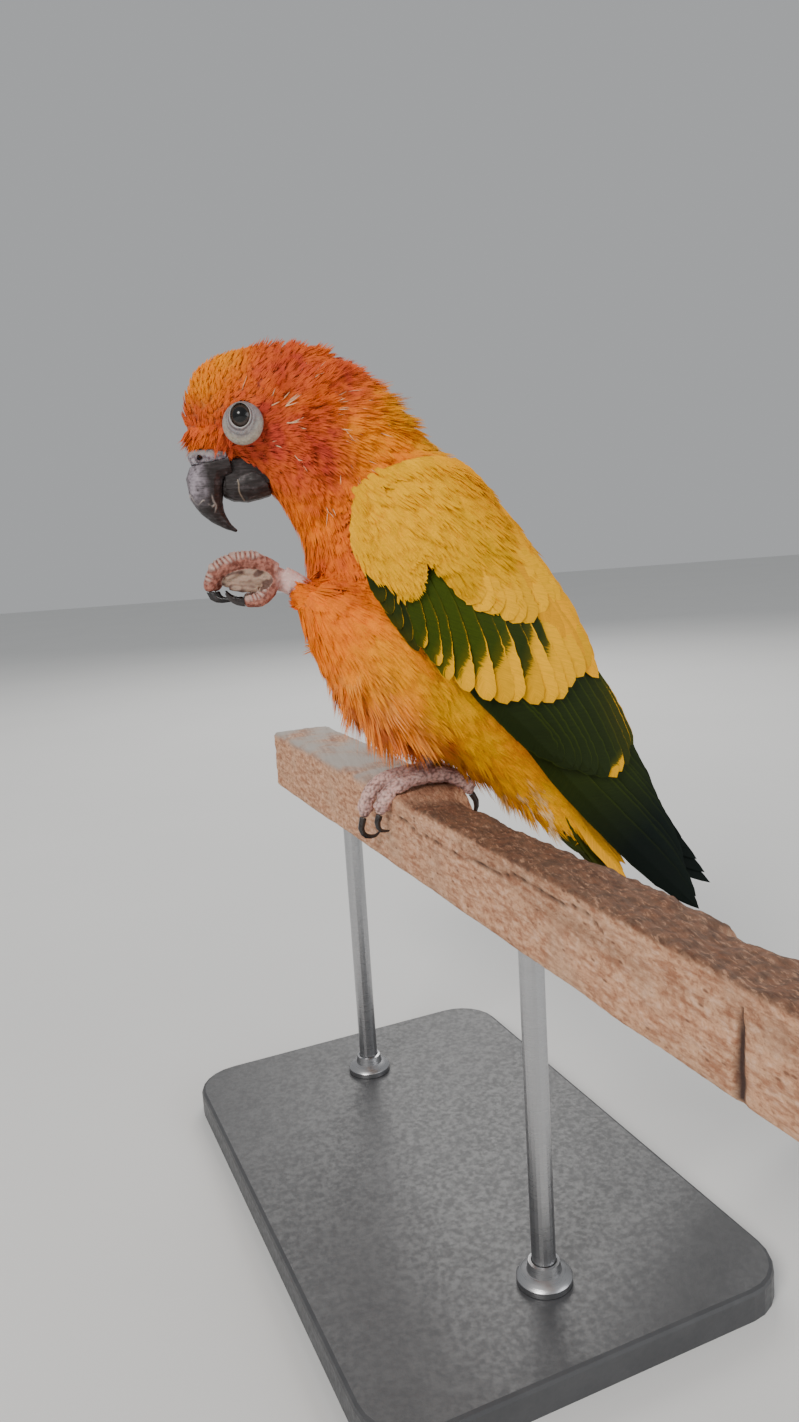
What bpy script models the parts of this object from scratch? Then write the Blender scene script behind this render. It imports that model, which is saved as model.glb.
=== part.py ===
"""Sun conure on a short length of perch, held by a plain display stand.

The bird stands on its right foot and holds the left foot up by the bill.
Sizes are millimetres times MM, so the model is in metres with +Z up.
The origin is under the standing foot, on the underside of the stand's base.
The bird looks along -X, and its left side is at -Y.

Most of the bird is described in body coordinates: u runs down the back from
the bend of the wing towards the tail, v runs from the belly to the back, and
y runs across the body.
"""

import math
import random
from collections import namedtuple

import bmesh
import bpy
from mathutils import Vector

MM = 0.001
GAP = 0.3
PERCH_TOP = 122.0

# Body axis: from the bend of the wing towards the tail tip, in the XZ plane
BODY_LEAN = math.radians(51.37)
BODY_START = (-14.0, 80.0)

# Outline of the body, as (u, v) points of the back and the front
NECK_START = -10.0
TORSO_START = 3.0
TORSO_END = 95.0
BACK_LINE = ((-49.4, -6.0), (-48.3, -1.0), (-46.0, 3.6), (-43.0, 8.8), (-38.0, 15.0), (-32.0, 19.2),
             (-25.0, 22.1), (-17.0, 23.8), (-10.0, 24.4), (3.0, 25.5), (15.0, 26.4), (33.0, 26.2),
             (50.0, 24.5), (65.0, 20.0), (80.0, 12.0), (95.0, 2.5))
FRONT_LINE = ((-49.4, -8.0), (-48.3, -12.0), (-46.0, -15.8), (-42.7, -19.6), (-38.0, -22.4), (-34.0, -22.9),
              (-29.0, -18.8), (-25.0, -16.6), (-20.0, -15.4), (-15.0, -15.0), (-10.0, -15.4), (-1.0, -17.4),
              (6.0, -21.8), (14.0, -27.0), (22.0, -31.0), (32.0, -34.0), (42.0, -35.5), (52.0, -34.5),
              (60.0, -31.5), (69.0, -28.0), (78.0, -25.4), (87.0, -24.6), (95.0, -23.6))
HALF_WIDTH = ((-49.4, 1.5), (-48.3, 4.4), (-46.0, 7.8), (-43.0, 10.6), (-38.0, 13.2), (-32.0, 14.8),
              (-25.0, 15.7), (-17.0, 16.0), (-10.0, 16.0), (-3.0, 16.8), (3.0, 18.2), (12.0, 20.6),
              (22.0, 22.4), (35.0, 23.2), (50.0, 22.6), (65.0, 20.2), (78.0, 16.6), (88.0, 13.0), (95.0, 11.0))
# How much narrower the front of a section is than its back
FRONT_NARROW = ((-49.4, 0.0), (-40.0, 0.16), (-32.0, 0.26), (-20.0, 0.16), (-8.0, 0.05), (20.0, 0.0), (95.0, 0.0))
HEAD_STATIONS = (-49.4, -48.3, -46.0, -42.7, -38.6, -34.0, -29.5, -25.0, -20.0, -15.0)
TORSO_SPACING = 7.0
BODY_SIDES = 26

# Eye: the ball, and the bare ring of skin with the lids round it
EYE_U = -32.4
EYE_V = -8.4
EYE_OUT = 11.0
EYE_TURN = math.radians(16.0)
EYE_RADIUS = 4.0
RING_RADIUS = 5.1
LID_RADIUS = 2.7
RING_FLOOR = 1.5
EYE_SIDES = 16

# Bill: (x, z) points over the perch, width and depth of each section
UPPER_BILL = ((-45.0, 90.8, 6.2, 4.6), (-49.6, 89.6, 5.9, 5.1), (-51.0, 85.8, 5.3, 4.9), (-51.0, 82.0, 4.5, 4.3),
              (-50.0, 79.0, 3.4, 3.1), (-48.5, 76.6, 2.2, 2.0), (-46.4, 74.4, 1.2, 1.0), (-44.2, 72.9, 0.4, 0.3))
LOWER_BILL = ((-35.0, 86.6, 5.4, 5.2), (-38.6, 85.4, 5.3, 5.0), (-41.6, 84.6, 4.9, 4.7), (-44.4, 84.3, 4.1, 3.9),
              (-46.8, 84.6, 2.8, 2.8))
CERE = ((-45.5, 92.2, 6.2, 3.0), (-50.0, 92.0, 6.5, 3.0), (-53.0, 91.7, 5.4, 2.6), (-54.6, 91.3, 3.4, 1.6))
NOSTRIL = (-52.0, 4.6, 91.7)
NOSTRIL_RADIUS = 0.8

# Thighs: (u, front v, back v, half width, y) sections
RAISED_THIGH = ((4.8, -28.2, -24.8, 2.4, -12.6), (9.0, -31.0, -21.0, 6.2, -12.8), (14.0, -33.2, -16.5, 9.0, -13.2),
                (21.0, -36.2, -12.0, 11.2, -13.6), (29.0, -38.2, -8.0, 12.2, -13.8), (37.0, -39.0, -6.0, 12.0, -13.6),
                (46.0, -38.6, -8.0, 10.6, -13.0), (54.0, -35.0, -13.0, 7.6, -12.2), (59.0, -29.0, -19.0, 3.4, -11.6))
STANDING_THIGH = ((22.0, -33.0, -14.0, 9.0, 12.5), (30.0, -36.0, -10.0, 11.0, 12.5), (40.0, -38.0, -12.0, 11.0, 12.0),
                  (50.0, -38.0, -15.0, 10.0, 10.6), (58.0, -36.6, -20.0, 7.4, 8.6), (63.0, -34.4, -23.6, 5.2, 6.8),
                  (66.5, -32.6, -26.6, 3.4, 5.6))

# Wing surface: y of the middle of the wing as part of an ellipse across the body
WING_CENTRE = ((-4.0, 4.0), (15.0, 0.0), (30.0, -2.0), (60.0, -6.0), (80.0, -5.0), (100.0, -10.0), (130.0, -10.0),
               (165.0, -10.0))
WING_DEPTH = ((-4.0, 27.0), (15.0, 29.5), (30.0, 31.0), (60.0, 32.0), (80.0, 27.0), (100.0, 26.5), (130.0, 24.5),
              (165.0, 23.0))
WING_WIDTH = ((-4.0, 21.8), (5.0, 24.0), (15.0, 25.4), (30.0, 26.0), (50.0, 25.4), (65.0, 23.8), (80.0, 21.0),
              (100.0, 17.2), (130.0, 12.6), (165.0, 8.6))
# The arm under the feathers, in (u, v): leading edge below, upper edge above, and its outer height
ARM_LOW = ((-1.5, -1.0), (0.0, -3.4), (7.0, -9.6), (17.0, -13.8), (27.0, -15.6), (38.0, -16.4), (50.0, -13.5),
           (62.0, -9.0), (76.0, -5.0))
ARM_HIGH = ((-1.5, 6.0), (0.0, 10.0), (4.0, 17.0), (9.0, 21.5), (16.0, 23.6), (33.0, 23.6), (50.0, 20.5),
            (64.0, 15.0), (76.0, 8.0))
ARM_RISE = ((-1.5, 0.8), (6.0, 1.9), (16.0, 1.9), (34.0, 1.0), (55.0, -0.4), (76.0, -1.6))
ARM_INNER = 3.6
ARM_STATIONS = (-1.5, 0.5, 4.0, 9.0, 17.0, 27.0, 39.0, 52.0, 64.0, 76.0)
WING_END = 157.0
FAR_WING_LIFT = 9.0
FAR_WING_BEND = 92.0

# A tier of vanes: roots run between two (u, v) places, tips follow (share, u, v) points.
# Heights count outwards from the wing's middle at the root and the tip, and the tilt
# is the fall of the vane from its lower edge to its upper edge.
Tier = namedtuple("Tier", "count roots tips width heights tilt thick square")
WING_TIERS = {
    "primary": Tier(8, ((64.0, -9.5), (68.0, 6.0)), ((0.0, 157.0, -4.2), (0.5, 136.0, 3.4), (1.0, 112.0, 10.6)),
                    9.2, (-1.7, -1.9), 0.40, 0.55, 0.3),
    "secondary": Tier(8, ((47.0, -11.5), (52.0, 15.0)),
                      ((0.0, 84.0, -8.4), (0.4, 95.0, -3.4), (0.7, 103.5, 2.8), (1.0, 101.0, 10.8)),
                      8.8, (0.2, 1.3), 0.24, 0.55, 0.45),
    "greater_covert": Tier(8, ((18.0, -8.0), (40.0, 17.0)),
                           ((0.0, 37.0, -13.6), (0.15, 47.0, -14.6), (0.3, 57.5, -11.4), (0.5, 66.0, -4.6),
                            (0.7, 72.0, 3.2), (1.0, 72.0, 15.5)), 7.8, (0.6, 3.0), 0.22, 0.55, 0.6),
    "median_covert": Tier(7, ((4.0, -3.0), (14.0, 18.0)),
                          ((0.0, 25.0, -10.4), (0.3, 27.0, -2.0), (0.45, 38.0, 0.0), (0.7, 50.0, 8.0),
                           (1.0, 52.0, 18.0)), 8.6, (0.8, 3.7), 0.18, 0.6, 0.6),
    "scapular": Tier(4, ((10.0, 15.0), (16.0, 22.0)), ((0.0, 60.0, 14.5), (0.6, 78.0, 14.0), (1.0, 64.0, 18.6)),
                     7.6, (1.0, 2.2), 0.20, 0.6, 0.4),
    "leading_covert": Tier(2, ((4.0, -6.4), (8.0, -6.0)), ((0.0, 36.0, -16.6), (1.0, 33.0, -13.4)),
                           4.6, (0.5, 1.7), 0.20, 0.6, 0.3),
}
VANE_SHARES = (0.0, 0.34, 0.66, 0.90, 1.0)
VANE_WIDTHS = (0.66, 1.0, 1.0, 0.74)
FLAT_ANGLE = math.radians(2.0)
TAIL_FLAT_ANGLE = math.radians(0.5)
TINY_EDGE = 0.004

# Tail: middle line of the closed fan in (u, v), the stub that its feathers grow from, and the feathers
TAIL_START = 95.0
TAIL_MIDDLE = ((95.0, -11.0), (106.0, -14.6), (120.0, -16.2), (160.0, -16.2), (235.0, -16.2))
STUB_DEPTH = ((95.0, 12.6), (104.0, 8.6), (112.0, 5.2), (122.0, 2.4))
STUB_WIDTH = ((95.0, 11.0), (104.0, 11.0), (112.0, 10.2), (122.0, 7.6))
STUB_STATIONS = (95.15, 98.5, 104.0, 110.0, 116.0, 122.0)
RECTRIX_TIPS = (235.0, 226.0, 214.0, 200.0, 184.0, 166.0)
RECTRIX_ROOT = 104.0
RECTRIX_PITCH = 1.75
RECTRIX_WIDTH = 7.4
RECTRIX_TILT = 0.53
RECTRIX_THICK = 0.5
# Coverts of the tail: (count, root u, tip u, half spread, height at root and tip, width)
UPPER_COVERTS = (5, 97.0, 136.0, 8.4, 6.0, 3.4, 7.6)
LOWER_COVERTS = (5, 97.0, 118.0, 7.6, -8.4, -3.8, 7.4)

# Perch: a sawn square bar, its back edge gnawed down towards the near end
PERCH_TURN = math.radians(12.0)
PERCH_WIDTH = 21.5
PERCH_HEIGHT = 20.7
PERCH_FAR = 105.0
PERCH_NEAR = -155.0
GNAWED = ((-155.0, 3.2), (-131.0, 3.8), (-121.0, 6.6), (-118.0, 6.6), (-115.0, 3.2), (-90.0, 2.8), (-60.0, 4.2),
          (-40.0, 4.8), (-12.0, 5.0), (-7.0, 0.6), (0.0, 0.3), (105.0, 0.3))
PERCH_EDGE = 1.0

# Stand
BASE_LENGTH = 170.0
BASE_WIDTH = 112.0
BASE_HEIGHT = 8.0
BASE_CORNER = 14.0
ROD_RADIUS = 3.0
ROD_PLACES = (-58.0, 58.0)

# Feet: (across the perch, along the perch, height, radius) points of each toe
STANDING_TARSUS = ((7.4, 6.5, 17.5, 2.3), (4.6, 4.4, 11.0, 2.3), (2.6, 1.6, 6.4, 2.6), (1.6, 0.6, 3.6, 2.7))
STANDING_TOES = {
    "outer_front": ((3.0, 1.2, 3.4, 2.3), (-3.5, 2.6, 3.6, 2.25), (-10.2, 3.4, 2.3, 2.2), (-14.4, 3.6, -1.4, 2.1),
                    (-15.6, 3.6, -5.6, 1.7)),
    "inner_front": ((2.0, -0.8, 3.0, 2.3), (-4.0, -2.4, 3.0, 2.2), (-9.6, -3.4, 1.6, 2.1), (-12.9, -3.7, -1.4, 1.9),
                    (-13.6, -3.8, -3.6, 1.6)),
    "outer_back": ((1.0, 2.2, 3.2, 2.2), (7.0, 4.0, 3.0, 2.2), (11.6, 4.8, 1.0, 2.0), (13.6, 5.0, -2.4, 1.6)),
    "inner_back": ((1.0, -0.8, 3.0, 2.2), (6.6, -2.8, 2.9, 2.2), (11.4, -3.6, 0.9, 2.0), (13.2, -3.8, -2.2, 1.6)),
}
STANDING_CLAWS = {
    "outer_front": ((-15.8, 3.6, -6.4), (-17.0, 3.6, -10.2), (-15.6, 3.6, -12.6), (-13.0, 3.6, -13.0),
                    (-11.5, 3.6, -12.0)),
    "inner_front": ((-13.8, -3.8, -4.4), (-15.0, -3.9, -7.0), (-14.2, -4.0, -9.4), (-11.6, -4.0, -9.8)),
    "outer_back": ((13.9, 5.0, -3.2), (15.6, 5.1, -6.0), (15.2, 5.2, -9.0), (13.0, 5.2, -10.6)),
    "inner_back": ((13.5, -3.8, -3.0), (15.2, -3.9, -5.8), (14.8, -4.0, -8.8), (12.8, -4.0, -10.2)),
}
# Raised foot: (x, y, height over the perch, radius) points
RAISED_TARSUS = ((-22.0, -12.6, 51.5, 2.4), (-29.0, -12.6, 56.4, 2.5), (-34.0, -12.4, 59.8, 2.7), (-37.6, -12.4, 61.4, 3.0))
RAISED_TOES = {
    "outer_front": ((-36.6, -13.4, 62.4, 2.4), (-41.0, -14.1, 65.4, 2.2), (-46.4, -14.2, 65.6, 2.1),
                    (-51.0, -14.2, 63.4, 2.0), (-52.6, -14.2, 60.2, 1.6)),
    "inner_front": ((-36.6, -11.2, 62.4, 2.4), (-40.6, -10.5, 64.6, 2.2), (-45.4, -10.4, 64.6, 2.1),
                    (-49.6, -10.4, 62.8, 2.0), (-51.2, -10.4, 60.0, 1.6)),
    "outer_back": ((-37.0, -13.6, 60.8, 2.3), (-38.6, -15.6, 57.8, 2.0), (-41.0, -16.4, 55.9, 1.8),
                   (-43.4, -16.6, 55.6, 1.4)),
    "inner_back": ((-37.0, -10.8, 60.8, 2.3), (-38.6, -8.8, 57.9, 2.0), (-40.8, -7.9, 56.0, 1.8),
                   (-43.0, -7.7, 55.7, 1.4)),
    "palm": ((-37.0, -12.3, 61.0, 2.8), (-41.0, -12.3, 60.9, 2.9), (-45.6, -12.3, 61.0, 2.3), (-48.8, -12.3, 61.2, 1.7)),
}
RAISED_CLAWS = {
    "outer_front": ((-52.7, -14.2, 59.2), (-52.2, -14.2, 57.2), (-50.0, -14.0, 56.2), (-46.6, -13.8, 56.2)),
    "inner_front": ((-51.3, -10.4, 59.0), (-50.6, -10.4, 57.0), (-48.4, -10.6, 56.2), (-45.2, -10.8, 56.6)),
    "outer_back": ((-44.3, -16.6, 55.5), (-46.4, -16.7, 55.8), (-48.1, -16.7, 56.8), (-49.1, -16.7, 58.2)),
    "inner_back": ((-43.9, -7.7, 55.6), (-46.0, -7.6, 55.9), (-47.7, -7.6, 56.9), (-48.7, -7.6, 58.3)),
}
CLAW_RADIUS = 1.15
CLAW_TIP = 0.25
TOE_SIDES = 8
CLAW_SIDES = 6
THIGH_SIDES = 18

PARTS = "sun_conure"
CUTTERS = "cutters"
SOLVER = "MANIFOLD"
CHANCE = random.Random(7)


def clear_scene():
    for item in list(bpy.data.objects):
        bpy.data.objects.remove(item)
    for name in (PARTS, CUTTERS):
        group = bpy.data.collections.new(name)
        bpy.context.scene.collection.children.link(group)


def material(name, colour, roughness, metallic=0.0):
    made = bpy.data.materials.new(name)
    made.use_nodes = True
    shader = made.node_tree.nodes["Principled BSDF"]
    shader.inputs["Base Color"].default_value = (*colour, 1.0)
    shader.inputs["Roughness"].default_value = roughness
    shader.inputs["Metallic"].default_value = metallic
    return made


def at(x, y, z):
    """A place beside the perch: z counts from the perch's top."""
    return Vector((x, y, z + PERCH_TOP)) * MM


def on_body(u, v, y):
    """A place in body coordinates."""
    x = BODY_START[0] + u * math.cos(BODY_LEAN) + v * math.sin(BODY_LEAN)
    z = BODY_START[1] - u * math.sin(BODY_LEAN) + v * math.cos(BODY_LEAN)
    return at(x, y, z)


def on_perch(across, along, z):
    """A place in the perch's own directions, over the standing foot."""
    x = across * math.cos(PERCH_TURN) - along * math.sin(PERCH_TURN)
    y = across * math.sin(PERCH_TURN) + along * math.cos(PERCH_TURN)
    return at(x, y, z)


def between(table, u):
    """The value at u on a smooth curve through the table's (u, value) points."""
    if u <= table[0][0]:
        return table[0][1]
    if u >= table[-1][0]:
        return table[-1][1]
    last = len(table) - 1
    k = max(i for i in range(last) if table[i][0] <= u)

    def slope(i):
        if i == 0 or i == last:
            return 0.0 if i else (table[1][1] - table[0][1]) / (table[1][0] - table[0][0])
        before = (table[i][1] - table[i - 1][1]) / (table[i][0] - table[i - 1][0])
        after = (table[i + 1][1] - table[i][1]) / (table[i + 1][0] - table[i][0])
        if before * after <= 0.0:
            return 0.0
        return 2.0 * before * after / (before + after)

    step = table[k + 1][0] - table[k][0]
    t = (u - table[k][0]) / step
    low, high = table[k][1], table[k + 1][1]
    rise, fall = slope(k) * step, slope(k + 1) * step
    return (low * (2 * t ** 3 - 3 * t ** 2 + 1) + rise * (t ** 3 - 2 * t ** 2 + t)
            + high * (3 * t ** 2 - 2 * t ** 3) + fall * (t ** 3 - t ** 2))


def new_piece(name, bm, finish, group=PARTS):
    """An object of its own from a closed mesh, its faces turned outwards."""
    bmesh.ops.recalc_face_normals(bm, faces=bm.faces)
    mesh = bpy.data.meshes.new(name)
    bm.to_mesh(mesh)
    bm.free()
    piece = bpy.data.objects.new(name, mesh)
    bpy.data.collections[group].objects.link(piece)
    if finish:
        mesh.materials.append(finish)
    if group == CUTTERS:
        piece.hide_render = True
        piece.display_type = "WIRE"
    return piece


def loft(rings, turned_sides=()):
    """A closed body through rings of equal count, with flat ends, all in triangles.

    The sides in turned_sides are split along their other diagonal.
    """
    bm = bmesh.new()
    rows = [[bm.verts.new(place) for place in ring] for ring in rings]
    count = len(rows[0])
    for near, far in zip(rows, rows[1:]):
        for i in range(count):
            j = (i + 1) % count
            if i in turned_sides:
                bm.faces.new((near[i], near[j], far[i]))
                bm.faces.new((near[j], far[j], far[i]))
            else:
                bm.faces.new((near[i], near[j], far[j]))
                bm.faces.new((near[i], far[j], far[i]))
    for row in (rows[0], rows[-1]):
        if count == 4:
            bm.faces.new((row[0], row[1], row[2]))
            bm.faces.new((row[0], row[2], row[3]))
            continue
        middle = bm.verts.new(sum((v.co for v in row), Vector()) / count)
        for i in range(count):
            bm.faces.new((row[i], row[(i + 1) % count], middle))
    return bm


def smooth(piece, angle=40.0):
    piece.data.shade_smooth()
    piece.data.set_sharp_from_angle(angle=math.radians(angle))


def boolean(piece, operation, others, solver="EXACT", flat=FLAT_ANGLE):
    """Join or cut the piece with the others, which are used up."""
    group = bpy.data.collections.new("operands")
    bpy.context.scene.collection.children.link(group)
    for other in others:
        group.objects.link(other)
    change = piece.modifiers.new("boolean", "BOOLEAN")
    change.operand_type = "COLLECTION"
    change.collection = group
    change.operation = operation
    change.solver = solver
    done = piece.evaluated_get(bpy.context.evaluated_depsgraph_get())
    mesh = bpy.data.meshes.new_from_object(done)
    piece.modifiers.clear()
    finish = piece.data.materials[0]
    piece.data = mesh
    mesh.materials.clear()
    mesh.materials.append(finish)
    for other in list(others):
        bpy.data.objects.remove(other)
    bpy.data.collections.remove(group)
    keep_largest(piece, flat)


def keep_largest(piece, flat):
    """Keep only the largest closed surface of the piece, its flat areas made whole."""
    bm = bmesh.new()
    bm.from_mesh(piece.data)
    bmesh.ops.triangulate(bm, faces=bm.faces)
    bm.verts.ensure_lookup_table()
    seen = set()
    shells = []
    for start in bm.verts:
        if start in seen:
            continue
        shell, waiting = [], [start]
        seen.add(start)
        while waiting:
            vert = waiting.pop()
            shell.append(vert)
            for edge in vert.link_edges:
                other = edge.other_vert(vert)
                if other not in seen:
                    seen.add(other)
                    waiting.append(other)
        shells.append(shell)
    shells.sort(key=len)
    for shell in shells[:-1]:
        bmesh.ops.delete(bm, geom=shell, context="VERTS")
    bmesh.ops.dissolve_degenerate(bm, dist=TINY_EDGE * MM, edges=bm.edges)
    bmesh.ops.dissolve_limit(bm, angle_limit=flat, verts=bm.verts, edges=bm.edges)
    bmesh.ops.triangulate(bm, faces=bm.faces)
    bm.to_mesh(piece.data)
    bm.free()


def grown(piece, by=GAP):
    """A cutter: the piece with its surface moved outwards."""
    bm = bmesh.new()
    bm.from_mesh(piece.data)
    bm.normal_update()
    moves = [vert.normal * by * MM for vert in bm.verts]
    for vert, move in zip(bm.verts, moves):
        vert.co += move
    return new_piece(piece.name + "_grown", bm, piece.data.materials[0], CUTTERS)


def body_section(u):
    """The body's outline at u: an egg between the front line and the back line."""
    front, back = between(FRONT_LINE, u), between(BACK_LINE, u)
    wide, narrow = between(HALF_WIDTH, u), between(FRONT_NARROW, u)
    ring = []
    for i in range(BODY_SIDES):
        turn = 2.0 * math.pi * i / BODY_SIDES
        up, out = math.cos(turn), math.sin(turn)
        out = math.copysign(abs(out) ** 0.92, out)
        v = (front + back) / 2.0 + up * (back - front) / 2.0
        y = out * wide * (1.0 - narrow * max(0.0, 0.3 - up))
        ring.append(on_body(u, v, y))
    return ring


def body_length(name, stations, finish):
    piece = new_piece(name, loft([body_section(u) for u in stations]), finish)
    smooth(piece)
    return piece


def make_body(finishes):
    head = body_length("head", HEAD_STATIONS + (NECK_START - GAP / 2,), finishes["feather_red"])
    neck_stations = (NECK_START + GAP / 2, -5.6, -1.0, TORSO_START - GAP / 2)
    neck = body_length("neck", neck_stations, finishes["feather_orange"])
    steps = round((TORSO_END - TORSO_START) / TORSO_SPACING)
    first, last = TORSO_START + GAP / 2, TORSO_END - GAP / 2
    torso_stations = [first + (last - first) * i / steps for i in range(steps + 1)]
    torso = body_length("torso", torso_stations, finishes["feather_orange"])
    return head, neck, torso


def thigh(name, sections, finish):
    rings = []
    for u, front, back, half, middle in sections:
        ring = []
        for i in range(THIGH_SIDES):
            turn = 2.0 * math.pi * i / THIGH_SIDES
            v = (front + back) / 2.0 + math.cos(turn) * (back - front) / 2.0
            ring.append(on_body(u, v, middle + math.sin(turn) * half))
        rings.append(ring)
    piece = new_piece(name, loft(rings), finish)
    smooth(piece)
    return piece


def tube(path, sides):
    """A round tube along (place, radius) points, as a closed mesh."""
    places = [place for place, _ in path]
    rings = []
    across = None
    for i, (place, radius) in enumerate(path):
        ahead = places[min(i + 1, len(places) - 1)] - places[max(i - 1, 0)]
        ahead.normalize()
        if across is None:
            across = Vector((0.0, 1.0, 0.0))
        across = (across - ahead * across.dot(ahead)).normalized()
        up = ahead.cross(across)
        ring = []
        for k in range(sides):
            turn = 2.0 * math.pi * k / sides
            ring.append(place + (across * math.cos(turn) + up * math.sin(turn)) * radius * MM)
        rings.append(ring)
    return loft(rings)


def curve_through(points, radii, steps):
    """More points along a smooth curve through the places, with their radii."""
    path = []
    count = len(points)
    for k in range(count - 1):
        before = points[max(k - 1, 0)]
        start, end = points[k], points[k + 1]
        after = points[min(k + 2, count - 1)]
        for i in range(steps):
            t = i / steps
            place = 0.5 * (2.0 * start + (end - before) * t
                           + (2.0 * before - 5.0 * start + 4.0 * end - after) * t ** 2
                           + (3.0 * start - before - 3.0 * end + after) * t ** 3)
            path.append((place, radii[k] + (radii[k + 1] - radii[k]) * t))
    path.append((points[-1], radii[-1]))
    return path


def round_end(path):
    """The path with a rounded last stretch."""
    end, radius = path[-1]
    ahead = (end - path[-2][0]).normalized()
    return path + [(end + ahead * radius * 0.6 * MM, radius * 0.8), (end + ahead * radius * 0.95 * MM, radius * 0.35)]


def limb(name, rows, frame, finish, group=PARTS):
    """A toe or a tarsus: a tube through rows of three coordinates and a radius."""
    points = [frame(*row[:3]) for row in rows]
    radii = [row[3] for row in rows]
    return new_piece(name, tube(round_end(curve_through(points, radii, 2)), TOE_SIDES), finish, group)


def claw(name, rows, frame, finish):
    points = [frame(*row) for row in rows]
    last = len(points) - 1
    radii = [CLAW_RADIUS + (CLAW_TIP - CLAW_RADIUS) * (i / last) ** 1.2 for i in range(len(points))]
    start = points[0] - (points[1] - points[0]).normalized() * 0.6 * MM
    piece = new_piece(name, tube(curve_through([start] + points[1:], radii, 2), CLAW_SIDES), finish)
    smooth(piece)
    return piece


def foot(name, tarsus, toes, frame, finish):
    piece = limb(name, tarsus, frame, finish)
    boolean(piece, "UNION", [limb(name + "_" + toe, rows, frame, finish, CUTTERS) for toe, rows in toes.items()])
    smooth(piece)
    return piece


def bill_section(x, z, wide, deep, ahead):
    """A rounded section of the bill, across the way it grows."""
    up = Vector((-ahead.z, 0.0, ahead.x))
    ring = []
    for i in range(16):
        turn = 2.0 * math.pi * i / 16
        ring.append(at(x, 0.0, z) + (up * math.cos(turn) * deep + Vector((0.0, 1.0, 0.0)) * math.sin(turn) * wide) * MM)
    return ring


def bill_piece(name, sections, finish):
    rings = []
    for i, (x, z, wide, deep) in enumerate(sections):
        before, after = sections[max(i - 1, 0)], sections[min(i + 1, len(sections) - 1)]
        ahead = Vector((after[0] - before[0], 0.0, after[1] - before[1])).normalized()
        rings.append(bill_section(x, z, wide, deep, ahead))
    piece = new_piece(name, loft(rings), finish)
    smooth(piece)
    return piece


def make_bill(head, finishes):
    cere = bill_piece("cere", CERE, finishes["bare_skin"])
    nostrils = []
    for side in (-1, 1):
        bm = bmesh.new()
        bmesh.ops.create_cone(bm, cap_ends=True, segments=10, radius1=NOSTRIL_RADIUS * MM,
                              radius2=NOSTRIL_RADIUS * MM, depth=3.0 * MM)
        hole = new_piece("nostril", bm, finishes["bare_skin"], CUTTERS)
        hole.rotation_euler = (math.radians(62.0) * side, 0.0, 0.0)
        hole.location = at(NOSTRIL[0], side * NOSTRIL[1], NOSTRIL[2])
        nostrils.append(hole)
    upper = bill_piece("bill_upper", UPPER_BILL, finishes["bill_horn"])
    lower = bill_piece("bill_lower", LOWER_BILL, finishes["bill_horn"])
    clear_of_cere, clear_of_upper = grown(cere), grown(upper)
    boolean(cere, "DIFFERENCE", [grown(head)] + nostrils)
    boolean(upper, "DIFFERENCE", [grown(head), clear_of_cere])
    boolean(lower, "DIFFERENCE", [grown(head), clear_of_upper])


def turned(profile, place, turn):
    """A closed shape turned about the eye's own axis, from (radius, height) points."""
    bm = bmesh.new()
    verts = [bm.verts.new((radius * MM, 0.0, height * MM)) for radius, height in profile]
    edges = [bm.edges.new((verts[i], verts[(i + 1) % len(verts)])) for i in range(len(verts))]
    bmesh.ops.spin(bm, geom=verts + edges, cent=(0, 0, 0), axis=(0, 0, 1), angle=2 * math.pi, steps=EYE_SIDES,
                   use_merge=True)
    bmesh.ops.remove_doubles(bm, verts=bm.verts, dist=0.00001)
    bmesh.ops.rotate(bm, verts=bm.verts, matrix=turn)
    bmesh.ops.translate(bm, verts=bm.verts, vec=place)
    return bm


def eye_ball(radius, place, turn):
    bm = bmesh.new()
    bmesh.ops.create_uvsphere(bm, u_segments=EYE_SIDES, v_segments=EYE_SIDES // 2, radius=radius * MM)
    bmesh.ops.rotate(bm, verts=bm.verts, matrix=turn)
    bmesh.ops.translate(bm, verts=bm.verts, vec=place)
    return bm


def make_eyes(head, finishes):
    for name, side in (("left", -1), ("right", 1)):
        place = on_body(EYE_U, EYE_V, side * EYE_OUT)
        outward = Vector((-math.sin(EYE_TURN), side * math.cos(EYE_TURN), 0.10)).normalized()
        turn = outward.to_track_quat("Z", "Y").to_matrix()
        ball = new_piece("eye_" + name, eye_ball(EYE_RADIUS, place, turn), finishes["eye"])
        smooth(ball)
        socket = new_piece("socket", eye_ball(EYE_RADIUS + GAP, place, turn), finishes["eye"], CUTTERS)
        bm = bmesh.new()
        bmesh.ops.create_cone(bm, cap_ends=True, segments=24, radius1=(RING_RADIUS + GAP) * MM,
                              radius2=(RING_RADIUS + GAP) * MM, depth=8.0 * MM)
        bmesh.ops.translate(bm, verts=bm.verts, vec=(0.0, 0.0, (RING_FLOOR - GAP + 4.0) * MM))
        bmesh.ops.rotate(bm, verts=bm.verts, matrix=turn)
        bmesh.ops.translate(bm, verts=bm.verts, vec=place)
        recess = new_piece("recess", bm, finishes["eye"], CUTTERS)
        boolean(head, "DIFFERENCE", [socket, recess])
        inner = EYE_RADIUS + GAP
        profile = [(math.sqrt(inner ** 2 - RING_FLOOR ** 2), RING_FLOOR), (RING_RADIUS, RING_FLOOR),
                   (RING_RADIUS, 2.3), (4.5, 3.0), (3.6, 3.6), (3.0, 4.0), (LID_RADIUS, 3.95),
                   (LID_RADIUS, math.sqrt(inner ** 2 - LID_RADIUS ** 2)),
                   (3.5, math.sqrt(inner ** 2 - 3.5 ** 2))]
        lids = new_piece("eyelids_" + name, turned(profile, place, turn), finishes["bare_skin"])
        smooth(lids)


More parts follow.
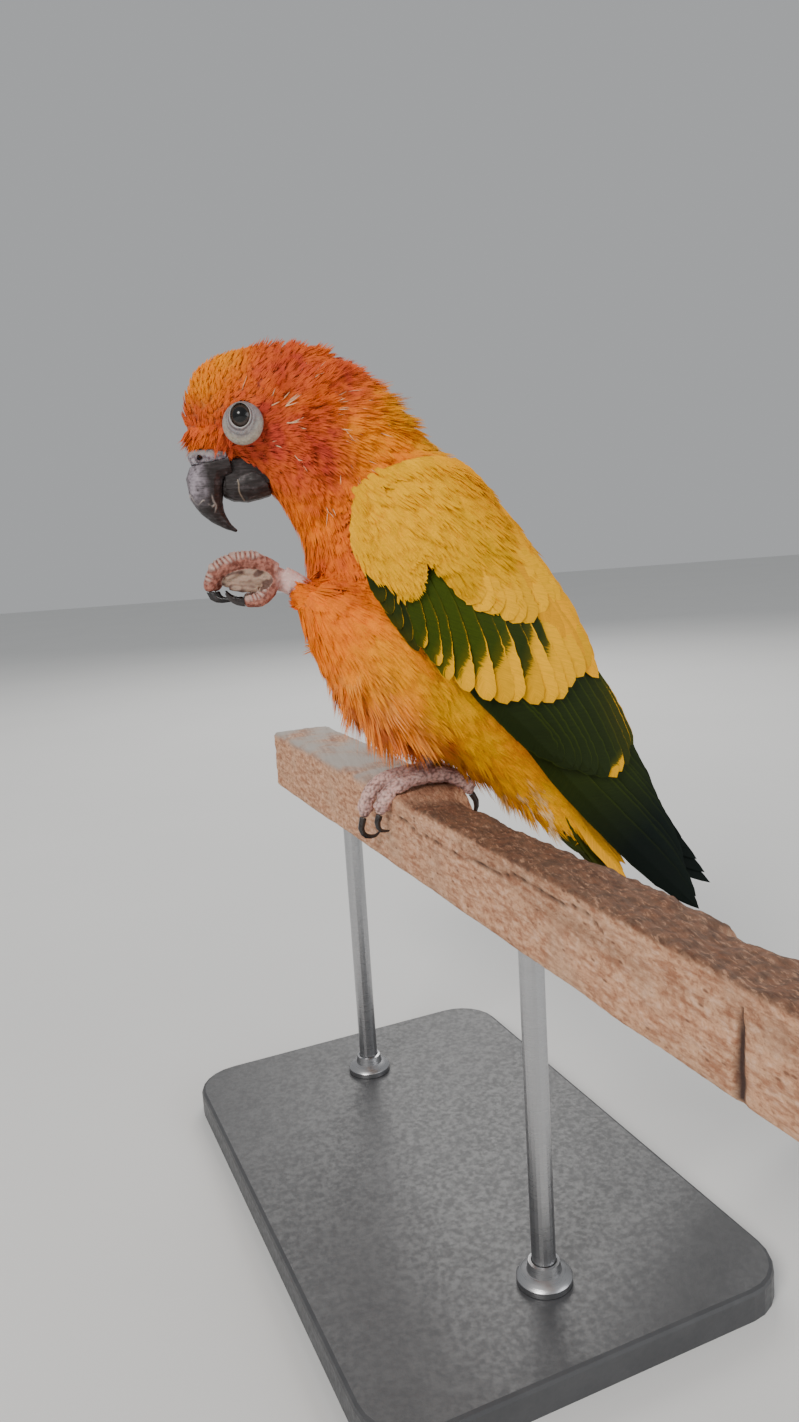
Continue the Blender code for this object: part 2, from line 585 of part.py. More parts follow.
def wing_place(side, u, v, height):
    """A place on the wing's curved surface, the height counted outwards from its middle."""
    bend = max(0.0, (u - FAR_WING_BEND) / (WING_END - FAR_WING_BEND))
    lift = FAR_WING_LIFT * bend ** 1.3 if side > 0 else 0.0

    def middle(a, b):
        part = (b - between(WING_CENTRE, a)) / between(WING_DEPTH, a)
        part = max(-0.97, min(0.97, part))
        return Vector((a, b, between(WING_WIDTH, a) * math.sqrt(1.0 - part * part)))

    here = middle(u, v)
    along = middle(u + 0.5, v) - here
    across = middle(u, v + 0.5) - here
    outward = along.cross(across).normalized()
    spot = here + outward * height
    return on_body(spot.x, spot.y + lift, side * spot.z)


def wing_ring(side, u, low, high, outer, inner, count=6):
    """A flat lens between two v values of the wing."""
    ring = []
    for k in range(2 * count):
        turn = math.pi * k / count
        v = (low + high) / 2.0 - math.cos(turn) * (high - low) / 2.0
        rise = abs(math.sin(turn)) ** 0.6
        middle = (outer - inner) / 2.0
        half = (outer + inner) / 2.0
        height = middle + half * math.copysign(rise, math.sin(turn))
        ring.append(wing_place(side, u, v, height))
    return ring


def vane(name, place, root, tip, width, heights, tilt, thick, square, finish):
    """A thin feather vane from root to tip, each as two coordinates of the surface it lies on."""
    start, end = Vector(root), Vector(tip)
    run = (end - start).normalized()
    side = Vector((-run.y, run.x))
    rings = []
    for share, part in zip(VANE_SHARES, VANE_WIDTHS + (square,)):
        middle = start.lerp(end, share)
        height = heights[0] + (heights[1] - heights[0]) * share
        half = width * part / 2.0
        ring = []
        for edge, up in ((-1, 1), (1, 1), (1, -1), (-1, -1)):
            spot = middle + side * half * edge
            rise = height - tilt * half * edge + up * thick / 2.0
            ring.append(place(spot.x, spot.y, rise))
        rings.append(ring)
    return new_piece(name, loft(rings, turned_sides=(2,)), finish, CUTTERS)


def spread(points, share):
    """The (u, v) place at a share of the way along (share, u, v) points."""
    return (between([(row[0], row[1]) for row in points], share), between([(row[0], row[2]) for row in points], share))


def make_wing(name, side, finish):
    """The arm, with tiers of vanes whose roots are sunk in it or in the tier over them."""
    rings = []
    for u in ARM_STATIONS:
        ease = min(1.0, 0.45 + (u - ARM_STATIONS[0]) / 9.0)
        rings.append(wing_ring(side, u, between(ARM_LOW, u), between(ARM_HIGH, u), between(ARM_RISE, u),
                               ARM_INNER * ease))
    piece = new_piece(name, loft(rings), finish)
    vanes = []
    for tier_name, tier in WING_TIERS.items():
        for i in range(tier.count):
            share = i / (tier.count - 1)
            root = Vector(tier.roots[0]).lerp(Vector(tier.roots[1]), share)
            jitter = CHANCE.uniform(-0.7, 0.7)
            tip_u, tip_v = spread(tier.tips, share)
            lift = CHANCE.uniform(-0.06, 0.06)
            vanes.append(vane(f"{name}_{tier_name}_{i}", lambda a, b, h: wing_place(side, a, b, h), root,
                              (tip_u + jitter, tip_v), tier.width, (tier.heights[0] + lift, tier.heights[1] + lift),
                              tier.tilt, tier.thick, tier.square, finish))
    boolean(piece, "UNION", vanes, SOLVER)
    smooth(piece, 30.0)
    return piece


def tail_place(u, across, height):
    """A place in the tail: the height counts up from the fan's middle line."""
    return on_body(u, between(TAIL_MIDDLE, u) + height - 0.006 * across * across, across)


def make_tail(finish):
    """The stub that carries the tail, twelve stepped tail feathers, and the coverts over and under them."""
    rings = []
    for u in STUB_STATIONS:
        ring = []
        for i in range(18):
            turn = 2.0 * math.pi * i / 18
            v = between(TAIL_MIDDLE, u) + math.cos(turn) * between(STUB_DEPTH, u)
            ring.append(on_body(u, v, math.sin(turn) * between(STUB_WIDTH, u)))
        rings.append(ring)
    piece = new_piece("tail", loft(rings), finish)
    vanes = []
    for side in (-1, 1):
        for i, tip_u in enumerate(RECTRIX_TIPS):
            across = side * (1.0 + RECTRIX_PITCH * i)
            tip = (tip_u + CHANCE.uniform(-0.8, 0.8), across * 0.62)
            vanes.append(vane(f"rectrix_{side}_{i}", tail_place, (RECTRIX_ROOT, across * 0.78), tip, RECTRIX_WIDTH,
                              (0.1 * side, 0.1 * side), side * RECTRIX_TILT, RECTRIX_THICK, 0.34, finish))
    for label, row in (("upper", UPPER_COVERTS), ("lower", LOWER_COVERTS)):
        count, root_u, tip_u, half_spread, root_height, tip_height, width = row
        for i in range(count):
            share = 2.0 * i / (count - 1) - 1.0
            height = CHANCE.uniform(-0.1, 0.1)
            fall = 1.9 * abs(share) * math.copysign(1.0, root_height)
            vanes.append(vane(f"tail_{label}_{i}", tail_place, (root_u, half_spread * share * 0.9),
                              (tip_u - 5.0 * (1.0 - abs(share)), half_spread * share), width,
                              (root_height - fall + height, tip_height - fall * 0.6 + height),
                              share * 0.42 * math.copysign(1.0, root_height), 0.6, 0.5, finish))
    boolean(piece, "UNION", vanes, SOLVER, TAIL_FLAT_ANGLE)
    smooth(piece, 30.0)
    return piece


def make_perch(finish):
    half, low = PERCH_WIDTH / 2.0, -PERCH_HEIGHT
    edge = PERCH_EDGE
    rings = []
    for along, gnaw in GNAWED:
        outline = ((-half, low + edge), (-half, -edge), (-half + edge, 0.0), (half * 0.35, -gnaw * 0.35),
                   (half - 1.2 - gnaw * 0.25, -gnaw), (half, -gnaw - edge - 0.6), (half, low + edge),
                   (half - edge, low), (-half + edge, low))
        rings.append([on_perch(across, along, z) for across, z in outline])
    return new_piece("perch", loft(rings), finish)


def perch_clearance(finish):
    """A cutter round the perch, which keeps the toes and claws off the wood."""
    bm = bmesh.new()
    bmesh.ops.create_cube(bm, size=1.0)
    bmesh.ops.scale(bm, verts=bm.verts, vec=((PERCH_WIDTH + 2 * GAP) * MM, 60.0 * MM, (PERCH_HEIGHT + GAP) * MM))
    edges = [edge for edge in bm.edges if all(vert.co.z > 0.0 for vert in edge.verts)
             and abs(edge.verts[0].co.x - edge.verts[1].co.x) < 1e-6]
    bmesh.ops.bevel(bm, geom=edges, offset=PERCH_EDGE * MM, affect="EDGES", segments=2, profile=0.5, material=-1)
    piece = new_piece("perch_clearance", bm, finish, CUTTERS)
    piece.rotation_euler = (0.0, 0.0, PERCH_TURN)
    piece.location = at(0.0, 0.0, -PERCH_HEIGHT / 2.0 + GAP / 2.0)
    return piece


def make_stand(finishes):
    bm = bmesh.new()
    bmesh.ops.create_cube(bm, size=1.0)
    bmesh.ops.scale(bm, verts=bm.verts, vec=(BASE_WIDTH * MM, BASE_LENGTH * MM, BASE_HEIGHT * MM))
    upright = [edge for edge in bm.edges if abs(edge.verts[0].co.z - edge.verts[1].co.z) > 1e-6]
    bmesh.ops.bevel(bm, geom=upright, offset=BASE_CORNER * MM, affect="EDGES", segments=6, profile=0.5, material=-1)
    rim = [edge for edge in bm.edges if all(vert.co.z > 0.0 for vert in edge.verts)]
    bmesh.ops.bevel(bm, geom=rim, offset=1.2 * MM, affect="EDGES", segments=2, profile=0.5, material=-1)
    base = new_piece("stand_base", bm, finishes["stand_paint"])
    base.rotation_euler = (0.0, 0.0, PERCH_TURN)
    base.location = (0.0, 0.0, BASE_HEIGHT / 2.0 * MM)
    smooth(base)
    foot_of_rod = BASE_HEIGHT + GAP
    head_of_rod = PERCH_TOP - PERCH_HEIGHT - GAP
    for number, along in enumerate(ROD_PLACES, start=1):
        bm = bmesh.new()
        bmesh.ops.create_cone(bm, cap_ends=True, segments=20, radius1=ROD_RADIUS * MM, radius2=ROD_RADIUS * MM,
                              depth=(head_of_rod - foot_of_rod) * MM)
        rod = new_piece(f"stand_rod_{number}", bm, finishes["stand_steel"])
        rod.location = on_perch(0.0, along, (head_of_rod + foot_of_rod) / 2.0 - PERCH_TOP)
        smooth(rod)


def make_finishes():
    return {
        "feather_red": material("feather_red", (0.80, 0.16, 0.03), 0.75),
        "feather_orange": material("feather_orange", (0.85, 0.30, 0.03), 0.75),
        "feather_yellow": material("feather_yellow", (0.85, 0.55, 0.03), 0.7),
        "feather_green": material("feather_green", (0.05, 0.12, 0.03), 0.6),
        "bare_skin": material("bare_skin", (0.60, 0.52, 0.48), 0.6),
        "foot_skin": material("foot_skin", (0.50, 0.27, 0.25), 0.6),
        "bill_horn": material("bill_horn", (0.05, 0.045, 0.045), 0.4),
        "claw_horn": material("claw_horn", (0.02, 0.018, 0.016), 0.35),
        "eye": material("eye", (0.02, 0.012, 0.01), 0.08),
        "perch_wood": material("perch_wood", (0.40, 0.21, 0.12), 0.8),
        "stand_paint": material("stand_paint", (0.06, 0.06, 0.065), 0.45),
        "stand_steel": material("stand_steel", (0.55, 0.55, 0.56), 0.3, 1.0),
    }


def main():
    clear_scene()
    finishes = make_finishes()
    head, neck, torso = make_body(finishes)
    make_bill(head, finishes)
    make_eyes(head, finishes)
    raised = thigh("thigh_left", RAISED_THIGH, finishes["feather_orange"])
    standing = thigh("thigh_right", STANDING_THIGH, finishes["feather_yellow"])
    boolean(raised, "DIFFERENCE", [grown(torso), grown(neck)])
    boolean(standing, "DIFFERENCE", [grown(torso)])
    make_tail(finishes["feather_green"])
    for name, side, leg in (("wing_left", -1, raised), ("wing_right", 1, standing)):
        wing = make_wing(name, side, finishes["feather_green"])
        boolean(wing, "DIFFERENCE", [grown(torso), grown(neck), grown(leg)])
    perch = make_perch(finishes["perch_wood"])
    smooth(perch, 25.0)
    raised_foot = foot("foot_left", RAISED_TARSUS, RAISED_TOES, at, finishes["foot_skin"])
    boolean(raised_foot, "DIFFERENCE", [grown(raised)])
    standing_foot = foot("foot_right", STANDING_TARSUS, STANDING_TOES, on_perch, finishes["foot_skin"])
    boolean(standing_foot, "DIFFERENCE", [grown(standing), grown(torso), perch_clearance(finishes["perch_wood"])])
    for side, toes, frame, owner in (("left", RAISED_CLAWS, at, raised_foot),
                                     ("right", STANDING_CLAWS, on_perch, standing_foot)):
        for toe, rows in toes.items():
            nail = claw(f"claw_{side}_{toe}", rows, frame, finishes["claw_horn"])
            cutters = [grown(owner)]
            if side == "right":
                cutters.append(perch_clearance(finishes["perch_wood"]))
            boolean(nail, "DIFFERENCE", cutters)
    make_stand(finishes)


main()
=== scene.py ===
"""Sun conure on a short length of perch, held by a plain display stand.

Sizes are millimetres times MM, in the frame's own place, with +Z up.
The bird looks along -X and its left side is at -Y.  Body coordinates are
u down the back towards the tail, v from the belly to the back, y across.
"""

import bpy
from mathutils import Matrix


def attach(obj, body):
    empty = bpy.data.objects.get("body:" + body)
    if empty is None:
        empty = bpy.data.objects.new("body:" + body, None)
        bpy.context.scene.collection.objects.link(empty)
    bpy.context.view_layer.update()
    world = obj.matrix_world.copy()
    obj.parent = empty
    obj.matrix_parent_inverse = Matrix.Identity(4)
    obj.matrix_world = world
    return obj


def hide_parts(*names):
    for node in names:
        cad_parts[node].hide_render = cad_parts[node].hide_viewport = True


bl_info = {
    "name": "Sun conure on a perch",
    "version": (1, 0, 0),
    "blender": (4, 5, 0),
    "location": "3D View > Sidebar > Conure",
    "description": "Builds the dressed model of a sun conure on a perch, piece by piece",
    "category": "Add Mesh",
}

import math
from collections import namedtuple

import bmesh
import bpy
import numpy as np
from mathutils import Matrix, Vector, noise
from mathutils.bvhtree import BVHTree

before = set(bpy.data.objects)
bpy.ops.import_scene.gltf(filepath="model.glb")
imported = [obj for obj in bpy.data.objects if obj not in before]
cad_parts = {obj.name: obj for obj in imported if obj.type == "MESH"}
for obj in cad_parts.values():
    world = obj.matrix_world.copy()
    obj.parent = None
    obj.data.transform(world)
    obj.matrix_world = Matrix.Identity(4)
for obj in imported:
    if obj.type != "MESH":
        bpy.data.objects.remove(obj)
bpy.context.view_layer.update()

MM = 0.001
SEED = 11
SAME_PLACE = 1e-6
PATCH_SIZE = 0.003
SIDES = (-1, 1)
PERCH_TOP = 122.0
BODY_LEAN = math.radians(51.37)
BODY_START = (-14.0, 80.0)
FLESH = ("head", "neck", "torso", "thigh_left", "thigh_right")

# Wing surface and the arm under the feathers, as in the solids
WING_CENTRE = ((-4.0, 4.0), (15.0, 0.0), (30.0, -2.0), (60.0, -6.0), (80.0, -5.0), (100.0, -10.0), (165.0, -10.0))
WING_DEPTH = ((-4.0, 27.0), (15.0, 29.5), (30.0, 31.0), (60.0, 32.0), (80.0, 27.0), (100.0, 26.5), (130.0, 24.5),
              (165.0, 23.0))
WING_WIDTH = ((-4.0, 21.8), (5.0, 24.0), (15.0, 25.4), (30.0, 26.0), (50.0, 25.4), (65.0, 23.8), (80.0, 21.0),
              (100.0, 17.2), (130.0, 12.6), (165.0, 8.6))
ARM_LOW = ((-1.5, -1.0), (0.0, -3.4), (7.0, -9.6), (17.0, -13.8), (27.0, -15.6), (38.0, -16.4), (50.0, -13.5),
           (62.0, -9.0), (76.0, -5.0))
ARM_HIGH = ((-1.5, 6.0), (0.0, 10.0), (4.0, 17.0), (9.0, 21.5), (16.0, 23.6), (33.0, 23.6), (50.0, 20.5),
            (64.0, 15.0), (76.0, 8.0))
ARM_RISE = ((-1.5, 0.8), (6.0, 1.9), (16.0, 1.9), (34.0, 1.0), (55.0, -0.4), (76.0, -1.6))
ARM_INNER = 3.6
ARM_STATIONS = (-1.0, 1.5, 4.0, 9.0, 17.0, 27.0, 39.0, 52.0, 64.0, 75.0)
WING_END = 157.0
FAR_WING_LIFT = 9.0
FAR_WING_BEND = 92.0
FAR_WING_EXTRA = 5.0

TAIL_MIDDLE = ((95.0, -11.0), (106.0, -14.6), (120.0, -16.2), (160.0, -16.2), (235.0, -16.2))
STUB_DEPTH = ((95.0, 12.6), (104.0, 8.6), (112.0, 5.2), (122.0, 2.4))
STUB_WIDTH = ((95.0, 11.0), (104.0, 11.0), (112.0, 10.2), (122.0, 7.6))
STUB_ROUND = 20
STUB_STATIONS = (88.0, 95.0, 98.5, 104.0, 110.0, 116.0, 122.0)

EYE_PLACE = (-32.4, -8.4, 11.0)
EYE_TURN = math.radians(16.0)
EYE_RADIUS = 4.0
CORNEA_SHARE = 0.6
CORNEA_BULGE = 0.30
# Ring of bare skin round each eye: half its width and height, and how far its middle lies under the eye's
RING_WIDE = 4.95
RING_HIGH = 5.1
RING_DROP = 1.5
SHEATH_PLACES = ((-37.6, -6.7), (-30.9, -0.9), (-27.4, -1.9), (-26.2, -6.3), (-25.9, -10.5), (-28.6, -15.5),
                 (-24.2, -2.0), (-29.8, 10.6), (-22.3, 8.9), (-20.6, 9.0), (-15.0, 7.1), (-12.6, 9.9), (-7.4, 1.6),
                 (-4.8, 6.0), (-4.1, 2.0), (-5.0, -9.4), (-16.6, -8.0), (-18.0, 14.0), (-12.0, 17.0))

# A row of feathers: root line and tip line follow (share, u, v) points, heights count out from the wing's middle
Row = namedtuple("Row", "kind count roots tips width heights tilt thick square")
WING_ROWS = (
    Row("primaries", 11, ((0.0, 62.0, -9.5), (1.0, 68.0, 6.0)),
        ((0.0, 157.0, -4.2), (0.5, 136.0, 3.4), (1.0, 112.0, 10.6)), 9.4, (-1.7, -1.9), 0.40, 0.50, 0.30),
    Row("secondaries", 12, ((0.0, 46.0, -11.0), (1.0, 52.0, 15.0)),
        ((0.0, 84.0, -8.4), (0.4, 95.0, -3.4), (0.7, 103.5, 2.8), (1.0, 101.0, 10.8)), 8.8, (0.2, 1.2), 0.24, 0.45,
        0.50),
    Row("greater_coverts", 14, ((0.0, 18.0, -8.0), (1.0, 40.0, 17.0)),
        ((0.0, 37.0, -13.6), (0.15, 47.0, -14.6), (0.3, 57.5, -11.4), (0.5, 66.0, -4.6), (0.7, 72.0, 3.2),
         (1.0, 72.0, 15.5)), 7.6, (0.6, 2.6), 0.22, 0.42, 0.62),
    Row("median_coverts", 13, ((0.0, 6.0, -4.0), (1.0, 22.0, 19.0)),
        ((0.0, 25.0, -8.4), (0.29, 24.5, -6.6), (0.32, 37.0, 2.2), (0.45, 42.0, 3.2), (0.7, 50.0, 8.0),
         (1.0, 55.0, 19.0)), 8.4, (0.8, 2.6), 0.18, 0.42, 0.62),
    Row("scapulars", 9, ((0.0, 12.0, 14.0), (1.0, 16.0, 23.0)),
        ((0.0, 56.0, 13.0), (0.6, 78.0, 14.0), (1.0, 64.0, 18.6)), 7.6, (1.2, 2.4), 0.20, 0.42, 0.45),
    Row("leading_coverts", 6, ((0.0, 3.0, -5.4), (1.0, 14.0, -9.4)),
        ((0.0, 22.0, -14.4), (1.0, 37.0, -15.8)), 4.6, (0.9, 2.0), 0.20, 0.38, 0.40),
)

LOCK = ((-1.0, 0.0), (0.0, 1.0), (1.0, 0.0))
FLIGHT_VANE = ((-1.0, 0.0), (-0.86, 0.24), (-0.5, 0.6), (-0.1, 0.75), (0.0, 1.4), (0.1, 0.75), (0.5, 0.6), (0.86, 0.24),
               (1.0, 0.0), (0.5, -0.55), (0.0, -0.9), (-0.5, -0.55))

# Places of the markings on the body, as (u, v, reach, strength)
RED_PLACES = ((-28.0, -9.0, 13.0, 1.0), (-19.0, -3.0, 12.0, 0.95), (-34.0, 5.0, 12.0, 0.9), (-24.0, 14.0, 10.0, 0.85),
              (-40.0, -17.0, 5.0, 0.75), (6.0, -17.0, 9.0, 0.5), (-13.0, -15.0, 6.0, 0.3), (62.0, -35.0, 7.0, 0.6),
              (34.0, -38.0, 10.0, 0.4), (46.0, -38.0, 9.0, 0.35), (2.0, -6.0, 7.0, 0.35))
GOLD_PLACES = ((-45.0, -11.0, 5.0, 0.32), (-46.0, -3.0, 5.0, 0.40), (-12.0, 20.0, 7.0, 0.65),
               (-11.0, 9.0, 7.0, 0.35), (1.0, 24.0, 9.0, 0.75), (18.0, 25.0, 14.0, 0.9), (50.0, -18.0, 14.0, 1.0),
               (31.0, -25.0, 10.0, 0.55), (36.0, 24.0, 14.0, 0.9), (78.0, -24.0, 14.0, 1.0), (95.0, -22.0, 14.0, 1.0),
               (60.0, 18.0, 16.0, 1.0), (88.0, 0.0, 20.0, 1.0), (64.0, -22.0, 12.0, 1.0))
OLIVE_PLACES = ((-11.0, 22.0, 5.0, 0.22), (2.0, 26.0, 7.0, 0.18))


def shades(**values):
    """A class body of colour settings, one for each name."""
    return {name: bpy.props.FloatVectorProperty(name=label, description=about, subtype="COLOR", size=4, min=0.0,
                                                max=1.0, default=(*colour, 1.0))
            for name, (label, about, colour) in values.items()}


class ConureColours(bpy.types.PropertyGroup):
    """Colours of the bird, its perch and its stand."""

    __annotations__ = shades(
        orange=("Orange", "Neck, breast and belly", (0.94, 0.22, 0.010)),
        red=("Red", "Face, ear and crown", (0.58, 0.070, 0.038)),
        gold=("Gold", "Wing coverts, mantle and vent", (0.89, 0.43, 0.0)),
        green=("Green", "Greater coverts and tail base", (0.042, 0.062, 0.003)),
        dark=("Dark", "Flight feathers", (0.004, 0.008, 0.006)),
        pale=("Pale", "Down, sheaths and loose barbs", (0.88, 0.66, 0.40)),
        bare=("Bare skin", "Ring round the eye and the cere", (0.30, 0.272, 0.252)),
        horn=("Bill", "Horn of the bill", (0.019, 0.014, 0.013)),
        scale=("Foot", "Skin of the feet", (0.80, 0.53, 0.47)),
        claw=("Claw", "Horn of the claws", (0.014, 0.012, 0.012)),
        iris=("Iris", "Ring round the pupil", (0.030, 0.016, 0.010)),
        wood=("Wood", "Sawn wood of the perch", (0.70, 0.37, 0.21)),
        paint=("Stand", "Paint of the stand's base", (0.055, 0.056, 0.060)),
        steel=("Rod", "Steel of the stand's rods", (0.52, 0.52, 0.53)),
    )


class ConureSizes(bpy.types.PropertyGroup):
    """Sizes of the coat, in metres."""

    coat_depth: bpy.props.FloatProperty(name="Coat depth", description="How deep the skin lies under the coat",
                                        default=1.3 * MM, unit="LENGTH")
    face_length: bpy.props.FloatProperty(name="Face lock length", description="Length of a lock on the face",
                                         default=2.6 * MM, unit="LENGTH")


# Coordinates


def side_name(side):
    return "left" if side < 0 else "right"


def body_plane(u, v):
    x = BODY_START[0] + u * math.cos(BODY_LEAN) + v * math.sin(BODY_LEAN)
    return x, PERCH_TOP + BODY_START[1] - u * math.sin(BODY_LEAN) + v * math.cos(BODY_LEAN)


def on_body(u, v, y):
    x, z = body_plane(u, v)
    return Vector((x, y, z)) * MM


def at_perch(x, y, z):
    """A place whose z counts from the perch's top."""
    return np.array([x, y, z + PERCH_TOP]) * MM


def body_point(u, v, y):
    """World places of arrays of body coordinates."""
    x, z = body_plane(u, v)
    return stack(x, y, z) * MM


def body_coordinates(points):
    """Arrays u, v and y of world places."""
    x = points[..., 0] / MM - BODY_START[0]
    z = points[..., 2] / MM - PERCH_TOP - BODY_START[1]
    u = x * math.cos(BODY_LEAN) - z * math.sin(BODY_LEAN)
    v = x * math.sin(BODY_LEAN) + z * math.cos(BODY_LEAN)
    return u, v, points[..., 1] / MM


TAILWARD = np.array([math.cos(BODY_LEAN), 0.0, -math.sin(BODY_LEAN)])
BACKWARD = np.array([math.sin(BODY_LEAN), 0.0, math.cos(BODY_LEAN)])


def curve(table, at):
    """Values of a smooth curve through (place, value) points."""
    xs, ys = np.array(table, float).T
    at = np.clip(np.asarray(at, float), xs[0], xs[-1])
    rise = np.diff(ys) / np.diff(xs)
    slopes = np.zeros(len(xs))
    both = rise[:-1] * rise[1:] > 0.0
    slopes[1:-1][both] = 2.0 * rise[:-1][both] * rise[1:][both] / (rise[:-1][both] + rise[1:][both])
    slopes[0] = rise[0]
    k = np.clip(np.searchsorted(xs, at, side="right") - 1, 0, len(xs) - 2)
    step = xs[k + 1] - xs[k]
    t = (at - xs[k]) / step
    return (ys[k] * (2 * t ** 3 - 3 * t ** 2 + 1) + slopes[k] * step * (t ** 3 - 2 * t ** 2 + t)
            + ys[k + 1] * (3 * t ** 2 - 2 * t ** 3) + slopes[k + 1] * step * (t ** 3 - t ** 2))


def perch_coordinates(points):
    """Arrays x, y and z in millimetres of world places, z counted from the perch's top."""
    return points[:, 0] / MM, points[:, 1] / MM, points[:, 2] / MM - PERCH_TOP


def bounded(values):
    """Values held between 0 and 1."""
    return np.clip(values, 0.0, 1.0)


def fade(value, start, width):
    """0 up to start, 1 from a width further on, and even between."""
    return np.clip((value - start) / width, 0.0, 1.0)


def stack(*parts):
    """Arrays or numbers as the last axis of one array."""
    return np.stack(np.broadcast_arrays(*parts), axis=-1)


def unit(vectors):
    """The vectors at length one."""
    return vectors / np.maximum(np.linalg.norm(vectors, axis=-1, keepdims=True), 1e-12)


def wing_middle(u, v):
    """Body coordinates of the middle of the wing's thickness."""
    part = np.clip((v - curve(WING_CENTRE, u)) / curve(WING_DEPTH, u), -0.97, 0.97)
    y = curve(WING_WIDTH, u) * np.sqrt(1.0 - part * part)
    return stack(u, v, y)


def wing_place(side, u, v, height):
    """World places on the wing's curved surface, heights counted outwards from its middle."""
    u, v = np.broadcast_arrays(np.asarray(u, float), np.asarray(v, float))
    bend = np.clip((u - FAR_WING_BEND) / (WING_END - FAR_WING_BEND), 0.0, None)
    lift = FAR_WING_LIFT * bend ** 1.3 if side > 0 else 0.0
    here = wing_middle(u, v)
    outward = unit(np.cross(wing_middle(u + 0.5, v) - here, wing_middle(u, v + 0.5) - here))
    spot = here + outward * np.asarray(height, float)[..., None]
    return body_point(spot[..., 0], spot[..., 1] + lift, side * spot[..., 2])


# Meshes


def new_piece(name, mesh, finish, slot, *replaced):
    """Shows a finished mesh as a piece that rides on the frame."""
    piece = bpy.data.objects.new(name, mesh)
    bpy.context.scene.collection.objects.link(piece)
    mesh.materials.clear()
    mesh.materials.append(finish)
    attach(piece, "root")
    if replaced:
        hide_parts(*replaced)
    return piece


def moved_out(bm, distance):
    """Moves every point along its normal."""
    bm.normal_update()
    moves = [vert.normal * distance for vert in bm.verts]
    for vert, move in zip(bm.verts, moves):
        vert.co += move


def write_out(bm, mesh):
    """Puts the shape into the mesh with smooth faces, and frees it."""
    for face in bm.faces:
        face.smooth = True
    bm.to_mesh(mesh)
    bm.free()


def merged_copy(node, grow=0.0):
    """A copy of a node's mesh as one connected surface, its faces moved outwards."""
    bm = bmesh.new()
    bm.from_mesh(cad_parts[node].data)
    bmesh.ops.remove_doubles(bm, verts=bm.verts, dist=SAME_PLACE)
    moved_out(bm, grow)
    return bm


def gather(parts):
    """One mesh from several, which are used up."""
    whole = bmesh.new()
    for part in parts:
        mesh = bpy.data.meshes.new("part")
        part.to_mesh(mesh)
        part.free()
        whole.from_mesh(mesh)
        bpy.data.meshes.remove(mesh)
    return whole


def closed_loop(bm, places):
    """New points at the places, and the edges that join them in a ring."""
    verts = [bm.verts.new(place) for place in places]
    return verts, [bm.edges.new(ends) for ends in zip(verts, verts[1:] + verts[:1])]


def bridged(rings):
    """A closed body through rings of places."""
    bm = bmesh.new()
    loops = [closed_loop(bm, ring)[1] for ring in rings]
    for near, far in zip(loops, loops[1:]):
        bmesh.ops.bridge_loops(bm, edges=near + far)
    bmesh.ops.holes_fill(bm, edges=loops[0] + loops[-1], sides=0)
    bmesh.ops.recalc_face_normals(bm, faces=bm.faces)
    return bm


def remeshed(name, bm, voxel, passes, inwards=0.0):
    """An even skin over a body of overlapping shapes, its voxels in millimetres, smoothed and moved inwards."""
    rough = bpy.data.meshes.new(name + "_rough")
    bm.to_mesh(rough)
    bm.free()
    holder = bpy.data.objects.new(name + "_rough", rough)
    bpy.context.scene.collection.objects.link(holder)
    change = holder.modifiers.new("even", "REMESH")
    change.mode = "VOXEL"
    change.voxel_size = voxel * MM
    done = holder.evaluated_get(bpy.context.evaluated_depsgraph_get())
    mesh = bpy.data.meshes.new_from_object(done)
    bpy.data.objects.remove(holder)
    bpy.data.meshes.remove(rough)
    bm = bmesh.new()
    bm.from_mesh(mesh)
    for _ in range(passes):
        bmesh.ops.smooth_vert(bm, verts=bm.verts, factor=0.5, use_axis_x=True, use_axis_y=True, use_axis_z=True)
    moved_out(bm, -inwards)
    write_out(bm, mesh)
    mesh.name = name
    return mesh


def mesh_arrays(mesh):
    """Vertex places, vertex normals and corner indices of a mesh's triangles."""
    count = len(mesh.vertices)
    places = np.empty(count * 3)
    mesh.vertices.foreach_get("co", places)
    normals = np.empty(count * 3)
    mesh.vertices.foreach_get("normal", normals)
    mesh.calc_loop_triangles()
    corners = np.empty(len(mesh.loop_triangles) * 3, np.int32)
    mesh.loop_triangles.foreach_get("vertices", corners)
    return places.reshape(-1, 3), normals.reshape(-1, 3), corners.reshape(-1, 3)


def put_attribute(mesh, name, values):
    """A colour attribute on the mesh's points, from rows of four numbers."""
    layer = mesh.attributes.new(name, "FLOAT_COLOR", "POINT")
    layer.data.foreach_set("color", np.ascontiguousarray(values, np.float32).ravel())


def raise_points(mesh, places, normals, height):
    """Moves a mesh's points out by so many millimetres each."""
    moved = places + normals * (height * MM)[:, None]
    mesh.vertices.foreach_set("co", np.ascontiguousarray(moved, np.float32).ravel())
    mesh.update()


